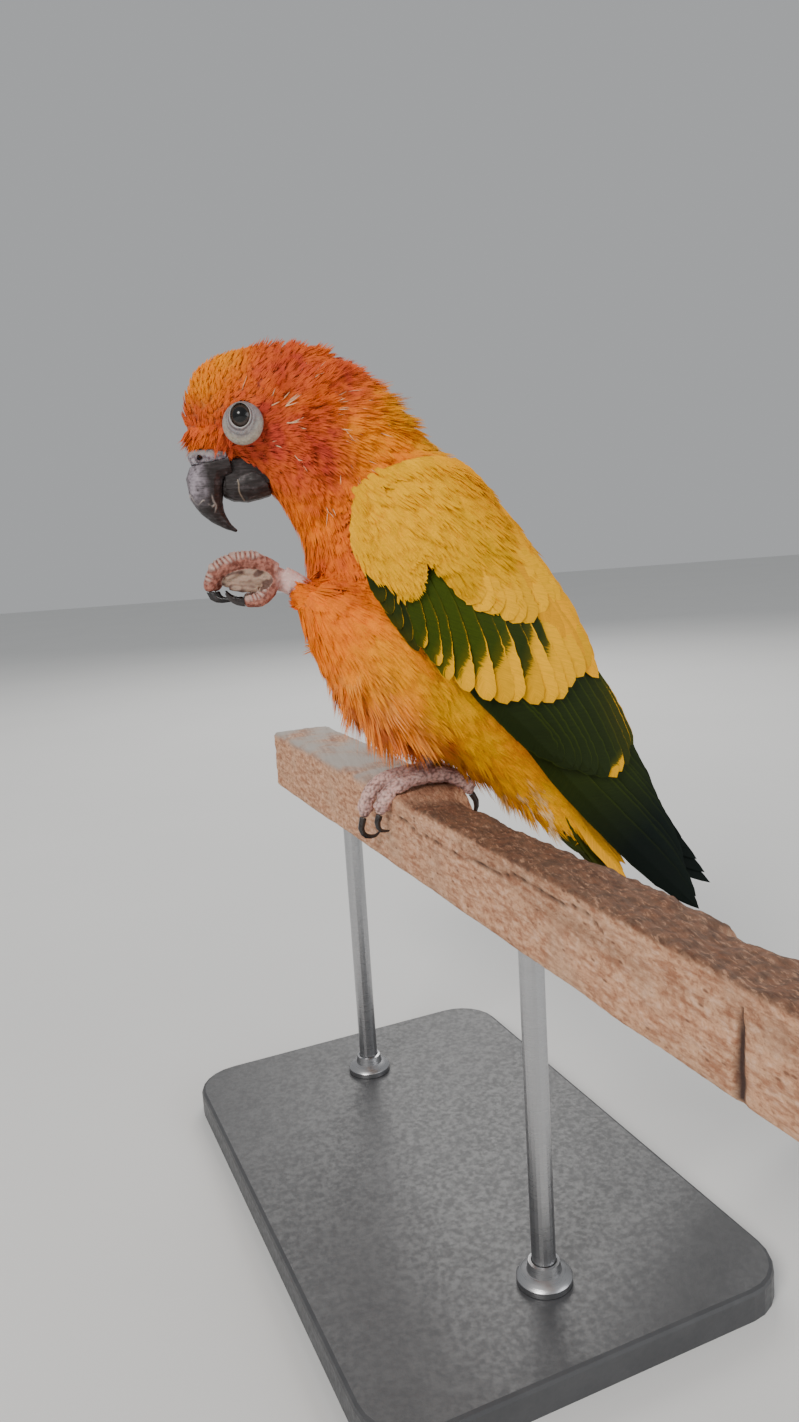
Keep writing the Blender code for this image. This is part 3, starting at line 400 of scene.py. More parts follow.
class Surface:
    """The skin, with even samples of places on it and the nearest place to any other."""

    def __init__(self, mesh):
        self.places, self.normals, self.corners = mesh_arrays(mesh)
        self.tree = BVHTree.FromPolygons([tuple(p) for p in self.places], [tuple(c) for c in self.corners])

    def nearest(self, points):
        """Places on the skin and its normals there, for many points."""
        found = np.empty((len(points), 3))
        normals = np.empty((len(points), 3))
        for i, point in enumerate(points):
            place, normal, _, _ = self.tree.find_nearest(point)
            found[i] = place
            normals[i] = normal
        return found, normals

    def scatter(self, spacing, rng, keep):
        """Places spread over the skin about so far apart, where keep(u, v, y) holds, and the normals there."""
        a, b, c = (self.places[self.corners[:, i]] for i in range(3))
        area = np.linalg.norm(np.cross(b - a, c - a), axis=1) / 2.0
        count = int(area.sum() / spacing ** 2 * 5.0)
        chosen = rng.choice(len(area), count, p=area / area.sum())
        s, t = rng.random(count), rng.random(count)
        over = s + t > 1.0
        s[over], t[over] = 1.0 - s[over], 1.0 - t[over]
        place = a[chosen] + (b[chosen] - a[chosen]) * s[:, None] + (c[chosen] - a[chosen]) * t[:, None]
        na, nb, nc = (self.normals[self.corners[chosen, i]] for i in range(3))
        normal = unit(na * (1.0 - s - t)[:, None] + nb * s[:, None] + nc * t[:, None])
        held = keep(*body_coordinates(place))
        place, normal = place[held], normal[held]
        cells = np.floor(place / spacing).astype(np.int64)
        _, first = np.unique(cells, axis=0, return_index=True)
        return place[first], normal[first]


def on_points(values, ring, axis=0):
    """Values given along a vane's stations, repeated for every point of its rings and once for its tip."""
    count = values.shape[axis]
    return np.repeat(values, [len(ring)] * (count - 1) + [1], axis=axis)


def vane_mesh(name, centres, sides, ups, halves, thick, camber, ring, tones, along, chance, patch, pale=None):
    """One mesh of many closed vanes.

    centres, sides and ups are (vanes, stations, 3), halves (vanes, stations), the last station is the point.
    tones holds the marking weights of each vane, or of each of its points.
    """
    ring = np.array(ring)
    vanes, stations = halves.shape
    around = len(ring)
    across, level = ring[:, 0], ring[:, 1]
    spread = sides[:, :-1, None, :] * (halves[:, :-1, None] * across)[..., None]
    thick = np.broadcast_to(thick, halves.shape)
    rise = thick[:, :-1, None] * level - camber * halves[:, :-1, None] * across ** 2
    body = centres[:, :-1, None, :] + spread + ups[:, :-1, None, :] * rise[..., None]
    points = np.concatenate([body.reshape(vanes, -1, 3), centres[:, -1:, :]], axis=1)
    per = points.shape[1]
    quads = []
    for k in range(stations - 2):
        for i in range(around):
            j = (i + 1) % around
            quads.append((k * around + i, k * around + j, (k + 1) * around + j, (k + 1) * around + i))
    last = (stations - 2) * around
    fans = [(last + i, last + (i + 1) % around, per - 1) for i in range(around)]
    cap = [tuple(reversed(range(around)))]
    sample = points[0]
    middle = sample.mean(axis=0)
    volume = sum(np.dot(sample[f[0]] - middle, np.cross(sample[f[k]] - middle, sample[f[k + 1]] - middle))
                 for f in quads + fans + cap for k in range(1, len(f) - 1))
    if volume < 0.0:
        quads, fans, cap = ([tuple(reversed(f)) for f in group] for group in (quads, fans, cap))
    faces = quads + fans + cap
    flat = np.concatenate([np.array(f) for f in faces])
    sizes = np.array([len(f) for f in faces])
    offsets = (np.arange(vanes) * per)[:, None]
    loops = (flat[None, :] + offsets).ravel()
    starts = np.concatenate([[0], np.cumsum(np.tile(sizes, vanes))[:-1]])
    mesh = bpy.data.meshes.new(name)
    mesh.vertices.add(vanes * per)
    mesh.vertices.foreach_set("co", points.astype(np.float32).ravel())
    mesh.loops.add(len(loops))
    mesh.loops.foreach_set("vertex_index", loops.astype(np.int32))
    mesh.polygons.add(vanes * len(faces))
    mesh.polygons.foreach_set("loop_start", starts.astype(np.int32))
    mesh.polygons.foreach_set("use_smooth", np.ones(vanes * len(faces), bool))
    mesh.update(calc_edges=True)
    ends = np.empty(len(mesh.edges) * 2, np.int32)
    mesh.edges.foreach_get("vertices", ends)
    rim = np.concatenate([np.tile(np.abs(across) == 1.0, stations - 1), [True]])
    crease = mesh.attributes.new("sharp_edge", "BOOLEAN", "EDGE")
    crease.data.foreach_set("value", rim[ends.reshape(-1, 2) % per].all(axis=1))
    width_share = np.append(np.tile(across, stations - 1), 0.0)
    length_share = on_points(along, ring)
    pale = 0.0 if pale is None else pale[:, None]
    lie = stack(length_share, width_share * 0.5 + 0.5, chance[:, None], pale)
    put_attribute(mesh, "lie", lie.reshape(-1, 4))
    tones = np.broadcast_to(tones[:, None, :] if tones.ndim == 2 else tones, (vanes, per, 4))
    put_attribute(mesh, "tones", tones.reshape(-1, 4))
    length = np.linalg.norm(np.diff(centres, axis=1), axis=2).sum(axis=1)
    wide = halves.max(axis=1)
    barbs = stack(width_share[None, :] * wide[:, None], length_share[None, :] * length[:, None])
    barbs += chance[:, None, None] * 7.0
    place = patch[:, None, :] + stack(width_share * 0.5, length_share - 0.5)[None] * PATCH_SIZE
    for layer_name, values in (("OFBake", place), ("barbs", barbs)):
        layer = mesh.uv_layers.new(name=layer_name, do_init=False)
        layer.data.foreach_set("uv", values.reshape(-1, 2)[loops].astype(np.float32).ravel())
    return mesh


# Materials


def setting(name):
    """A colour from the settings."""
    return tuple(getattr(bpy.context.scene.conure_colours, name))


class Nodes:
    """A short way to add and join the nodes of one tree."""

    def __init__(self, tree):
        self.tree = tree

    def add(self, kind, **settings):
        node = self.tree.nodes.new(kind)
        for name, value in settings.items():
            setattr(node, name, value)
        return node

    def put(self, socket, value):
        """Joins an output to the socket or sets its value; a colour may come without its alpha."""
        if isinstance(value, bpy.types.NodeSocket):
            self.tree.links.new(value, socket)
        else:
            socket.default_value = (*value, 1.0) if socket.type == "RGBA" and len(value) == 3 else value

    def fill(self, node, **values):
        """Puts values into a node's inputs; an underscore in a name stands for a space."""
        for name, value in values.items():
            self.put(node.inputs[name.replace("_", " ")], value)
        return node.outputs

    def use(self, tree, **values):
        return self.fill(self.add("ShaderNodeGroup", node_tree=tree), **values)

    def dress(self, **values):
        """Puts values into the material's own shader."""
        self.fill(self.tree.nodes["Principled BSDF"], **values)

    def math(self, operation, a, b=0.0, *more, clamp=False):
        node = self.add("ShaderNodeMath", operation=operation, use_clamp=clamp)
        for socket, value in zip(node.inputs, (a, b, *more)):
            self.put(socket, value)
        return node.outputs[0]

    def plus(self, a, b, clamp=False):
        return self.math("ADD", a, b, clamp=clamp)

    def minus(self, a, b):
        return self.math("SUBTRACT", a, b)

    def times(self, a, b, clamp=False):
        return self.math("MULTIPLY", a, b, clamp=clamp)

    def mix(self, amount, a, b):
        node = self.add("ShaderNodeMix", data_type="RGBA")
        for index, value in ((0, amount), (6, a), (7, b)):
            self.put(node.inputs[index], value)
        return node.outputs[2]

    def layers(self, colour, *layers):
        """The colour with others over it in turn, each given as (amount, colour)."""
        for amount, tint in layers:
            colour = self.mix(amount, colour, tint)
        return colour

    def ramp(self, value, low, high, to_low=0.0, to_high=1.0):
        node = self.add("ShaderNodeMapRange", interpolation_type="SMOOTHSTEP")
        for socket, number in zip(node.inputs, (value, low, high, to_low, to_high)):
            self.put(socket, number)
        return node.outputs[0]

    def noise(self, vector, scale, detail=3.0, rough=0.5):
        return self.fill(self.add("ShaderNodeTexNoise"), Vector=vector, Scale=scale, Detail=detail,
                         Roughness=rough)["Fac"]

    def patches(self, vector, scale, low, high, a, b):
        """Two colours in patches."""
        return self.mix(self.ramp(self.noise(vector, scale, 4.0), low, high), a, b)

    def cells(self, vector, scale):
        return self.fill(self.add("ShaderNodeTexVoronoi"), Vector=vector, Scale=scale)["Distance"]

    def stretched(self, vector, scale, turn=(0.0, 0.0, 0.0)):
        return self.fill(self.add("ShaderNodeMapping"), Vector=vector, Scale=scale, Rotation=turn)[0]

    def flat(self, x, y):
        return self.fill(self.add("ShaderNodeCombineXYZ"), X=x, Y=y)[0]

    def attribute(self, name):
        node = self.add("ShaderNodeAttribute", attribute_name=name)
        parts = self.add("ShaderNodeSeparateColor")
        self.put(parts.inputs[0], node.outputs["Color"])
        return (*parts.outputs, node.outputs["Alpha"])

    def place(self):
        return self.add("ShaderNodeTexCoord").outputs["Object"]

    def bump(self, height, distance):
        return self.fill(self.add("ShaderNodeBump"), Height=height, Distance=distance * MM)[0]


def group(name, vector, numbers, outputs, fill):
    """A node group of that name, built once; fill(nodes, inputs, outputs) makes it."""
    if name in bpy.data.node_groups:
        return bpy.data.node_groups[name]
    tree = bpy.data.node_groups.new(name, "ShaderNodeTree")
    sockets = [(vector, "INPUT", "Vector")] + [(number, "INPUT", "Float") for number in numbers]
    for label, way, kind in sockets + [(label, "OUTPUT", kind) for label, kind in outputs]:
        tree.interface.new_socket(name=label, in_out=way, socket_type="NodeSocket" + kind)
    nodes = Nodes(tree)
    fill(nodes, nodes.add("NodeGroupInput").outputs, nodes.add("NodeGroupOutput").inputs)
    return tree


def plumage_group():
    """Feather colour from the marking weights, the chance of each vane and its barbs."""

    def fill(nodes, given, out):
        green, barbs = given["Green"], given["Barbs"]
        wander = nodes.ramp(nodes.noise(given["Place"], 260.0), 0.35, 0.75, -0.14, 0.16)
        redder = nodes.plus(given["Red"], wander, clamp=True)
        streaked = nodes.ramp(nodes.plus(green, nodes.minus(barbs, 0.5)), 0.38, 0.62)
        change = nodes.times(nodes.minus(streaked, green), given["Streaks"])
        colour = nodes.layers(setting("orange"), (redder, setting("red")), (given["Gold"], setting("gold")),
                              (nodes.plus(green, change, clamp=True), setting("green")),
                              (given["Dark"], setting("dark")), (given["Pale"], setting("pale")))
        shade = nodes.math("MULTIPLY_ADD", given["Chance"], 0.26, 0.86)
        value = nodes.times(shade, nodes.ramp(barbs, 0.25, 0.75, 0.84, 1.14))
        lit = nodes.fill(nodes.add("ShaderNodeHueSaturation"), Color=colour, Value=value)
        nodes.put(out["Color"], lit[0])

    return group("plumage_colour", "Place", ("Red", "Gold", "Green", "Dark", "Pale", "Chance", "Barbs", "Streaks"),
                 [("Color", "Color")], fill)


def barb_group():
    """Fine barbs that run out from a vane's middle and towards its tip."""

    def fill(nodes, given, out):
        parts = nodes.fill(nodes.add("ShaderNodeSeparateXYZ"), Vector=given["Barb map"])
        away = nodes.math("ABSOLUTE", nodes.minus(given["Across"], 0.5))
        slant = nodes.minus(parts[1], nodes.times(away, given["Slant"]))
        line = nodes.flat(slant, nodes.times(parts[0], 0.10))
        coarse = nodes.noise(line, given["Scale"], 2.0, 0.6)
        fine = nodes.noise(line, nodes.times(given["Scale"], 2.7), 1.0, 0.5)
        both = nodes.plus(nodes.times(coarse, 0.65), nodes.times(fine, 0.35))
        nodes.put(out["Barbs"], both)

    return group("barbs", "Barb map", ("Across", "Slant", "Scale"), [("Barbs", "Float")], fill)


def grain_group():
    """Fine uneven grain on skin, horn and paint: a height and a mask."""

    def fill(nodes, given, out):
        large = nodes.noise(given["Place"], nodes.times(given["Scale"], 0.17), 2.0)
        nodes.put(out["Height"], nodes.noise(given["Place"], given["Scale"], 5.0))
        nodes.put(out["Mask"], nodes.ramp(large, 0.35, 0.65))

    return group("grain", "Place", ("Scale",), [("Height", "Float"), ("Mask", "Float")], fill)


def new_material(name):
    made = bpy.data.materials.new(name)
    made.use_nodes = True
    return made, Nodes(made.node_tree)


def grained_material(name, scale):
    """A new material, its nodes, the place on the object, and the height and mask of its grain."""
    made, nodes = new_material(name)
    place = nodes.place()
    height, mask = nodes.use(grain_group(), Place=place, Scale=scale)
    return made, nodes, place, height, mask


def feather_material(name, slant, scale, roughness, relief, specular, streaks):
    """Feathers whose colour follows the marking weights on the mesh."""
    made, nodes = new_material(name)
    red, gold, green, dark = nodes.attribute("tones")
    _, across, chance, pale = nodes.attribute("lie")
    barb_map = nodes.add("ShaderNodeUVMap", uv_map="barbs").outputs[0]
    barbs = nodes.use(barb_group(), Barb_map=barb_map, Across=across, Slant=slant, Scale=scale)[0]
    colour = nodes.use(plumage_group(), Place=nodes.place(), Red=red, Gold=gold, Green=green, Dark=dark, Pale=pale,
                       Chance=chance, Barbs=barbs, Streaks=streaks)[0]
    nodes.dress(Base_Color=colour, Roughness=nodes.ramp(barbs, 0.2, 0.8, roughness - 0.08, roughness + 0.08),
                Normal=nodes.bump(barbs, relief), Specular_IOR_Level=specular)
    return made


def skin_material():
    made, nodes = new_material("under_coat")
    red, gold, green, dark = nodes.attribute("tones")
    place = nodes.place()
    down = nodes.noise(place, 1500.0, 4.0)
    colour = nodes.use(plumage_group(), Place=place, Red=red, Gold=gold, Green=green, Dark=dark, Pale=0.0,
                       Chance=down, Barbs=down, Streaks=0.0)[0]
    shadow = (0.10, 0.03, 0.01)
    nodes.dress(Base_Color=nodes.mix(0.35, colour, shadow), Normal=nodes.bump(down, 0.4), Roughness=0.85)
    return made


def bare_material():
    """Pale wrinkled skin of the eye ring and the cere, with painted shade in the ring's folds and the nostrils."""
    made, nodes, place, height, mask = grained_material("bare_skin", 1500.0)
    crease, rim, below, horny = nodes.attribute("folds")
    cell = nodes.cells(place, 2300.0)
    cere = nodes.patches(place, 700.0, 0.38, 0.62, (0.15, 0.12, 0.14), (0.44, 0.385, 0.41))
    # The darkest colour here is painted shade, laid by the crease weight in the ring's folds, on its upper side and in
    # the nostrils.
    veiled, dry, yellowed, fold_shade, lid_rim = ((0.28, 0.25, 0.25), (0.42, 0.39, 0.365), (0.37, 0.325, 0.26),
                                               (0.11, 0.085, 0.09), (0.62, 0.58, 0.54))
    colour = nodes.layers(setting("bare"), (mask, veiled), (nodes.ramp(cell, 0.45, 0.1, 0.0, 0.35), dry),
                          (below, yellowed), (horny, cere), (nodes.times(crease, 0.8), fold_shade),
                          (nodes.times(rim, 0.6), lid_rim))
    relief = nodes.minus(nodes.times(height, 0.6), cell)
    nodes.dress(Base_Color=colour, Normal=nodes.bump(relief, 0.08), Roughness=nodes.ramp(height, 0.3, 0.7, 0.52, 0.70),
                Specular_IOR_Level=0.3, Subsurface_Weight=0.1, Subsurface_Scale=0.3 * MM)
    return made


def horn_material():
    """Worn charcoal horn with a lighter ridge, partly pale horn and partly a painted highlight, pale flakes, and a pale
    cutting edge painted as a highlight.
    """
    made, nodes, place, height, _ = grained_material("bill_horn", 1300.0)
    ridge, flake, edge, _ = nodes.attribute("wear")
    lines = nodes.noise(nodes.stretched(place, (0.25, 0.8, 1.6), (0.0, 0.5, 0.0)), 1400.0, 3.0)
    patches = nodes.noise(place, 420.0, 4.0)
    # The lilac tint on the front and top of the upper half is partly the horn's own paler colour, partly a painted
    # highlight of the ridge facing the light.
    lilac_and_highlight = nodes.mix(height, (0.22, 0.185, 0.215), (0.42, 0.36, 0.40))
    blotches = nodes.plus(nodes.ramp(lines, 0.25, 0.60, 0.35, 0.75),
                          nodes.ramp(patches, 0.35, 0.65, -0.35, 0.35))
    worn = nodes.times(flake, nodes.ramp(nodes.cells(place, 900.0), 0.10, 0.45))
    # The last colour is a pale line painted as the highlight of the lower half's cutting edge.
    streak, grey, flaked, edge_highlight = (0.075, 0.062, 0.064), (0.15, 0.125, 0.13), (0.50, 0.43, 0.38), (0.40, 0.31, 0.22)
    colour = nodes.layers(setting("horn"), (nodes.ramp(lines, 0.40, 0.75, 0.0, 0.5), streak),
                          (nodes.ramp(patches, 0.55, 0.72, 0.0, 0.5), grey),
                          (nodes.times(ridge, blotches, clamp=True), lilac_and_highlight), (worn, flaked),
                          (edge, edge_highlight))
    relief = nodes.plus(lines, nodes.times(worn, 1.5))
    nodes.dress(Base_Color=colour, Roughness=nodes.ramp(height, 0.3, 0.7, 0.36, 0.58), Normal=nodes.bump(relief, 0.07),
                Specular_IOR_Level=0.35)
    return made


def foot_material():
    """Pink granular scales, paler on the scutes and darker between them, where shade is painted into the grooves."""
    made, nodes, place, height, mask = grained_material("foot_scales", 1100.0)
    scute, gap_shade, palm, flesh = nodes.attribute("scales")
    cell = nodes.cells(place, 1400.0)
    raw = nodes.patches(place, 900.0, 0.36, 0.64, (0.19, 0.055, 0.036), (0.42, 0.17, 0.125))
    # The last colour is painted shade, laid in the grooves between scutes and granules and in the palm's folds.
    rosy, granule, scute_tint, palm_tint, shade_in_gaps = ((0.60, 0.38, 0.35), (0.74, 0.58, 0.54), (0.50, 0.37, 0.32),
                                                  (0.40, 0.27, 0.20), (0.085, 0.035, 0.028))
    colour = nodes.layers(setting("scale"), (mask, rosy), (nodes.ramp(cell, 0.50, 0.12, 0.0, 0.65), granule),
                          (flesh, raw), (scute, scute_tint), (palm, palm_tint),
                          (nodes.times(gap_shade, 0.85), shade_in_gaps))
    nodes.dress(Base_Color=colour, Normal=nodes.bump(nodes.minus(1.0, cell), 0.10),
                Roughness=nodes.ramp(height, 0.3, 0.7, 0.55, 0.72), Specular_IOR_Level=0.3, Subsurface_Weight=0.1,
                Subsurface_Scale=0.4 * MM)
    return made


def coated_material(name, tint, other, share, scale, low, high, relief):
    """A plain grained surface of two close colours, such as claw horn or paint, its roughness from low to high."""
    made, nodes, _, height, mask = grained_material(name, scale)
    nodes.dress(Base_Color=nodes.mix(nodes.times(mask, share), setting(tint), other),
                Roughness=nodes.ramp(height, 0.3, 0.7, low, high), Normal=nodes.bump(height, relief))
    return made


def eye_material():
    """Dark iris round a black pupil, under a wet cornea."""
    made, nodes = new_material("eye")
    away, turn, _, _ = nodes.attribute("iris")
    rays = nodes.flat(nodes.times(turn, 40.0), nodes.times(away, 3.0))
    streak = nodes.noise(rays, 1.0, 3.0)
    pupil, ray, rim = (0.0015, 0.0015, 0.0015), (0.050, 0.034, 0.026), (0.008, 0.006, 0.005)
    iris = nodes.mix(nodes.ramp(streak, 0.3, 0.7), setting("iris"), ray)
    colour = nodes.layers(pupil, (nodes.ramp(away, 0.42, 0.50), iris), (nodes.ramp(away, 0.60, 0.72), rim))
    nodes.dress(Base_Color=colour, Roughness=nodes.ramp(streak, 0.0, 1.0, 0.22, 0.32), Specular_IOR_Level=0.2,
                Coat_Weight=0.6, Coat_Roughness=0.02)
    return made


def wood_material():
    """Reddish sawn wood, gnawed and rough on top, with a long crack; the crack and the saw's mark are darkened with
    painted shade.
    """
    made, nodes = new_material("perch_wood")
    place = nodes.place()
    gnawed, crack, dust, _ = nodes.attribute("wear")
    along = nodes.stretched(place, (1.0, 0.045, 1.0), (0.0, 0.0, -PERCH_TURN))
    fibre = nodes.noise(along, 900.0, 5.0, 0.6)
    bands = nodes.noise(along, 180.0, 3.0)
    blotch = nodes.noise(place, 55.0, 4.0)
    specks = nodes.cells(nodes.stretched(place, (1.0, 0.35, 1.0), (0.0, 0.0, -PERCH_TURN)), 420.0)
    fuzz = nodes.noise(nodes.stretched(place, (1.0, 0.3, 0.6), (0.35, 0.0, -PERCH_TURN)), 1300.0, 4.0, 0.65)
    pith, charred, splinter = (0.045, 0.018, 0.010), (0.15, 0.060, 0.030), (0.44, 0.23, 0.13)
    top = nodes.mix(nodes.ramp(nodes.noise(place, 420.0, 5.0), 0.35, 0.65), pith, charred)
    top = nodes.mix(nodes.ramp(fuzz, 0.54, 0.66, 0.0, 0.7), top, splinter)
    band, pale_fuzz, red_fuzz, red_fibre = ((0.68, 0.38, 0.22), (0.88, 0.58, 0.41), (0.30, 0.105, 0.05),
                                            (0.32, 0.115, 0.055))
    # The last colour here is painted shade inside the crack and the saw's mark.
    stain, speck, dusty, hollow = (0.58, 0.37, 0.24), (0.14, 0.055, 0.03), (0.42, 0.38, 0.34), (0.05, 0.022, 0.015)
    colour = nodes.layers(setting("wood"), (nodes.ramp(bands, 0.35, 0.65), band),
                          (nodes.ramp(fuzz, 0.50, 0.66, 0.0, 0.55), pale_fuzz),
                          (nodes.ramp(fuzz, 0.50, 0.36, 0.0, 0.6), red_fuzz),
                          (nodes.ramp(fibre, 0.42, 0.68, 0.0, 0.7), red_fibre),
                          (nodes.ramp(blotch, 0.5, 0.7, 0.0, 0.4), stain),
                          (nodes.ramp(specks, 0.16, 0.06, 0.0, 0.7), speck),
                          (nodes.times(gnawed, 0.85), top),
                          (nodes.times(dust, nodes.ramp(blotch, 0.35, 0.6)), dusty), (crack, hollow))
    height = nodes.plus(fibre, nodes.times(nodes.noise(place, 1500.0, 5.0), 0.8))
    nodes.dress(Base_Color=colour, Normal=nodes.bump(nodes.plus(height, fuzz), 0.40),
                Roughness=nodes.ramp(fibre, 0.3, 0.7, 0.70, 0.92))
    return made


def steel_material():
    made, nodes = new_material("stand_steel")
    brushed = nodes.noise(nodes.stretched(nodes.place(), (0.02, 0.02, 1.0)), 9000.0, 3.0)
    nodes.dress(Base_Color=nodes.mix(brushed, setting("steel"), (0.42, 0.42, 0.43)), Metallic=1.0,
                Roughness=nodes.ramp(brushed, 0.3, 0.7, 0.26, 0.42), Normal=nodes.bump(brushed, 0.02))
    return made


# Markings


def places_weight(places, u, v):
    """The strongest of soft round spots at each point."""
    weight = np.zeros(np.shape(u))
    for place_u, place_v, reach, strength in places:
        away = ((u - place_u) ** 2 + (v - place_v) ** 2) / reach ** 2
        weight = np.maximum(weight, strength * np.exp(-away ** 1.3))
    return weight


def body_tones(u, v, y):
    """Weights of red, gold, green and dark over the body."""
    red = places_weight(RED_PLACES, u, v)
    gold = places_weight(GOLD_PLACES, u, v)
    gold = np.maximum(gold, fade(u, 66.0, 22.0))
    green = places_weight(OLIVE_PLACES, u, v)
    return stack(red * (1.0 - 0.5 * gold), gold, green, 0.0)


# Skin


def wing_core(side):
    """The arm under the feathers, as a closed body."""
    rings = []
    count = 10
    for u in ARM_STATIONS:
        low, high = float(curve(ARM_LOW, u)), float(curve(ARM_HIGH, u))
        ease = min(1.0, 0.45 + (u - ARM_STATIONS[0]) / 9.0)
        outer, inner = float(curve(ARM_RISE, u)) - 0.9, ARM_INNER * ease
        turn = math.pi * np.arange(2 * count) / count
        v = (low + high) / 2.0 - np.cos(turn) * (high - low) / 2.0
        rise = np.copysign(np.abs(np.sin(turn)) ** 0.6, np.sin(turn))
        height = (outer - inner) / 2.0 + (outer + inner) / 2.0 * rise
        rings.append(wing_place(side, np.full(2 * count, u), v, height))
    return bridged(rings)


def tail_stub():
    """The tail's root under the feathers, as a closed body."""
    rings = []
    turn = 2.0 * math.pi * np.arange(STUB_ROUND) / STUB_ROUND
    for u in STUB_STATIONS:
        v = curve(TAIL_MIDDLE, u) + np.cos(turn) * (curve(STUB_DEPTH, u) - 0.8)
        rings.append(body_point(np.full(STUB_ROUND, u), v, np.sin(turn) * (float(curve(STUB_WIDTH, u)) - 1.0)))
    return bridged(rings)


def make_skin(sizes):
    """One skin over the flesh, hollow at the eyes, with the arms and the tail's root."""
    overlap = 0.4 * MM
    parts = [merged_copy(node, overlap) for node in FLESH]
    parts += [merged_copy(node + side_name(side), -overlap) for node in ("eyelids_", "eye_") for side in SIDES]
    parts += [wing_core(side) for side in SIDES] + [tail_stub()]
    mesh = remeshed("skin", gather(parts), voxel=0.9, passes=4, inwards=sizes.coat_depth + overlap)
    places, _, _ = mesh_arrays(mesh)
    put_attribute(mesh, "tones", body_tones(*body_coordinates(places)))
    new_piece("skin", mesh, skin_material(), "plumage", *FLESH)
    return Surface(mesh)


made = {}


def skin_surface():
    return made["skin"]


# Small feathers of the coat


BILL_BASE = on_body(-32.0, -22.0, 0.0)


def laid(way, normals, share=1.0):
    """Directions with their part along the normals taken out, or a share of it."""
    return unit(way - normals * (way * normals).sum(axis=1, keepdims=True) * share)


def lie_of_coat(places, normals, rng, wander):
    """The way the feathers lie: back from the bill on the head, towards the tail on the body."""
    u, _, _ = body_coordinates(places)
    from_bill = unit(places - np.array(BILL_BASE))
    onward = fade(u, -26.0, 20.0)[:, None]
    way = unit(from_bill * (1.0 - onward) + TAILWARD * onward)
    return laid(way + rng.normal(0.0, wander, way.shape), normals)


def unwrap_body(places):
    """Places on a sleeve unwrapped from the body, turning about its own long axis."""
    u, v, y = body_coordinates(places)
    middle = np.interp(u, [-50.0, -20.0, 40.0, 95.0, 125.0], [-3.0, 4.0, -4.0, -10.0, -15.0])
    turn = np.arctan2(y, v - middle)
    return stack(0.5 + turn / (2.0 * math.pi) * 0.96, np.clip((u + 55.0) / 190.0, 0.01, 0.99))


# Barbs of a feather: how much the outer ones and chance ones are shorter, how wide the fan starts, how far it
# arches down, and how much of each barb's shade is the feather's
Fan = namedtuple("Fan", "outer ragged root arch shared")
COAT_FAN = Fan(0.30, 0.16, 0.35, 0.12, 0.65)
WING_FAN = Fan(0.26, 0.20, 0.45, 0.10, 0.6)


def in_barbs(fan, barbs, rng, along, centres, chance, sides, ups, widths, *others):
    """Splits each feather into a fan of so many barbs."""
    place = np.tile(np.linspace(-1.0, 1.0, barbs), len(centres)) + rng.uniform(-0.2, 0.2, len(centres) * barbs)
    centres, chance, sides, ups, widths, *others = (np.repeat(values, barbs, axis=0) for values in
                                                    (centres, chance, sides, ups, widths, *others))
    short = 1.0 - fan.outer * place ** 2 - rng.uniform(0.0, fan.ragged, len(place))
    centres = centres[:, :1] + (centres - centres[:, :1]) * short[:, None, None]
    out = (place * widths / 2.0)[:, None] * (fan.root + (1.0 - fan.root) * along ** 0.8)[None, :]
    centres = centres + sides * out[..., None] - ups * (np.abs(out) * fan.arch)[..., None]
    chance = fan.shared * chance + (1.0 - fan.shared) * rng.random(len(place))
    return centres, chance, sides, ups, widths, *others


COAT_STATIONS = 4
COAT_SHAPE = (0.7, 1.0, 0.95, 0.65, 0.0)
ROOT_DEPTH = 0.5


def coat_mesh(name, places, normals, lengths, widths, rng, lift, loose, wander=0.0, thickness=0.07, tones=body_tones,
              pale=None, roll=0.10, barbs=1, barb_width=0.22, way=None):
    """Feathers rooted on the skin, which bend along it; each is one vane, or a fan of barbs."""
    surface = skin_surface()
    count = len(places)
    along = np.linspace(0.0, 1.0, COAT_STATIONS)
    if way is None:
        way = lie_of_coat(places, normals, rng, wander)
    ahead = places[:, None, :] + way[:, None, :] * (lengths[:, None] * along)[..., None]
    near, near_normals = surface.nearest(ahead.reshape(-1, 3))
    near, near_normals = near.reshape(ahead.shape), near_normals.reshape(ahead.shape)
    rise = (lift * MM) * (along ** 0.75)[None, :] * rng.uniform(0.7, 1.2, count)[:, None]
    rise = rise - ROOT_DEPTH * MM * (along == 0.0)
    lain = near + near_normals * rise[..., None]
    loose = np.broadcast_to(np.asarray(loose, float), (count,))
    free = ahead + normals[:, None, :] * ((lengths * 0.50)[:, None] * along ** 1.4 + rise)[..., None]
    centres = lain + (free - lain) * (loose[:, None] * along)[..., None]
    run = unit(np.gradient(centres, axis=1))
    ups = unit(near_normals * (1.0 - loose[:, None, None]) + normals[:, None, :] * loose[:, None, None])
    sides = np.cross(run, ups)
    sides = unit(sides + ups * rng.normal(0.0, roll, count)[:, None, None])
    ups = unit(np.cross(sides, run))
    chance = rng.random(count)
    root_tones = tones(*body_coordinates(places))
    patch = unwrap_body(places)
    if barbs > 1:
        centres, chance, sides, ups, widths, root_tones, patch = in_barbs(
            COAT_FAN, barbs, rng, along, centres, chance, sides, ups, widths, root_tones, patch)
        widths = widths * barb_width
        pale = None if pale is None else np.repeat(pale, barbs)
    shape = np.interp(along, np.linspace(0.0, 1.0, len(COAT_SHAPE)), COAT_SHAPE)
    return vane_mesh(name, centres, sides, ups, widths[:, None] / 2.0 * shape[None, :], thickness * MM, 0.10, LOCK,
                     root_tones, along, chance, patch, pale)


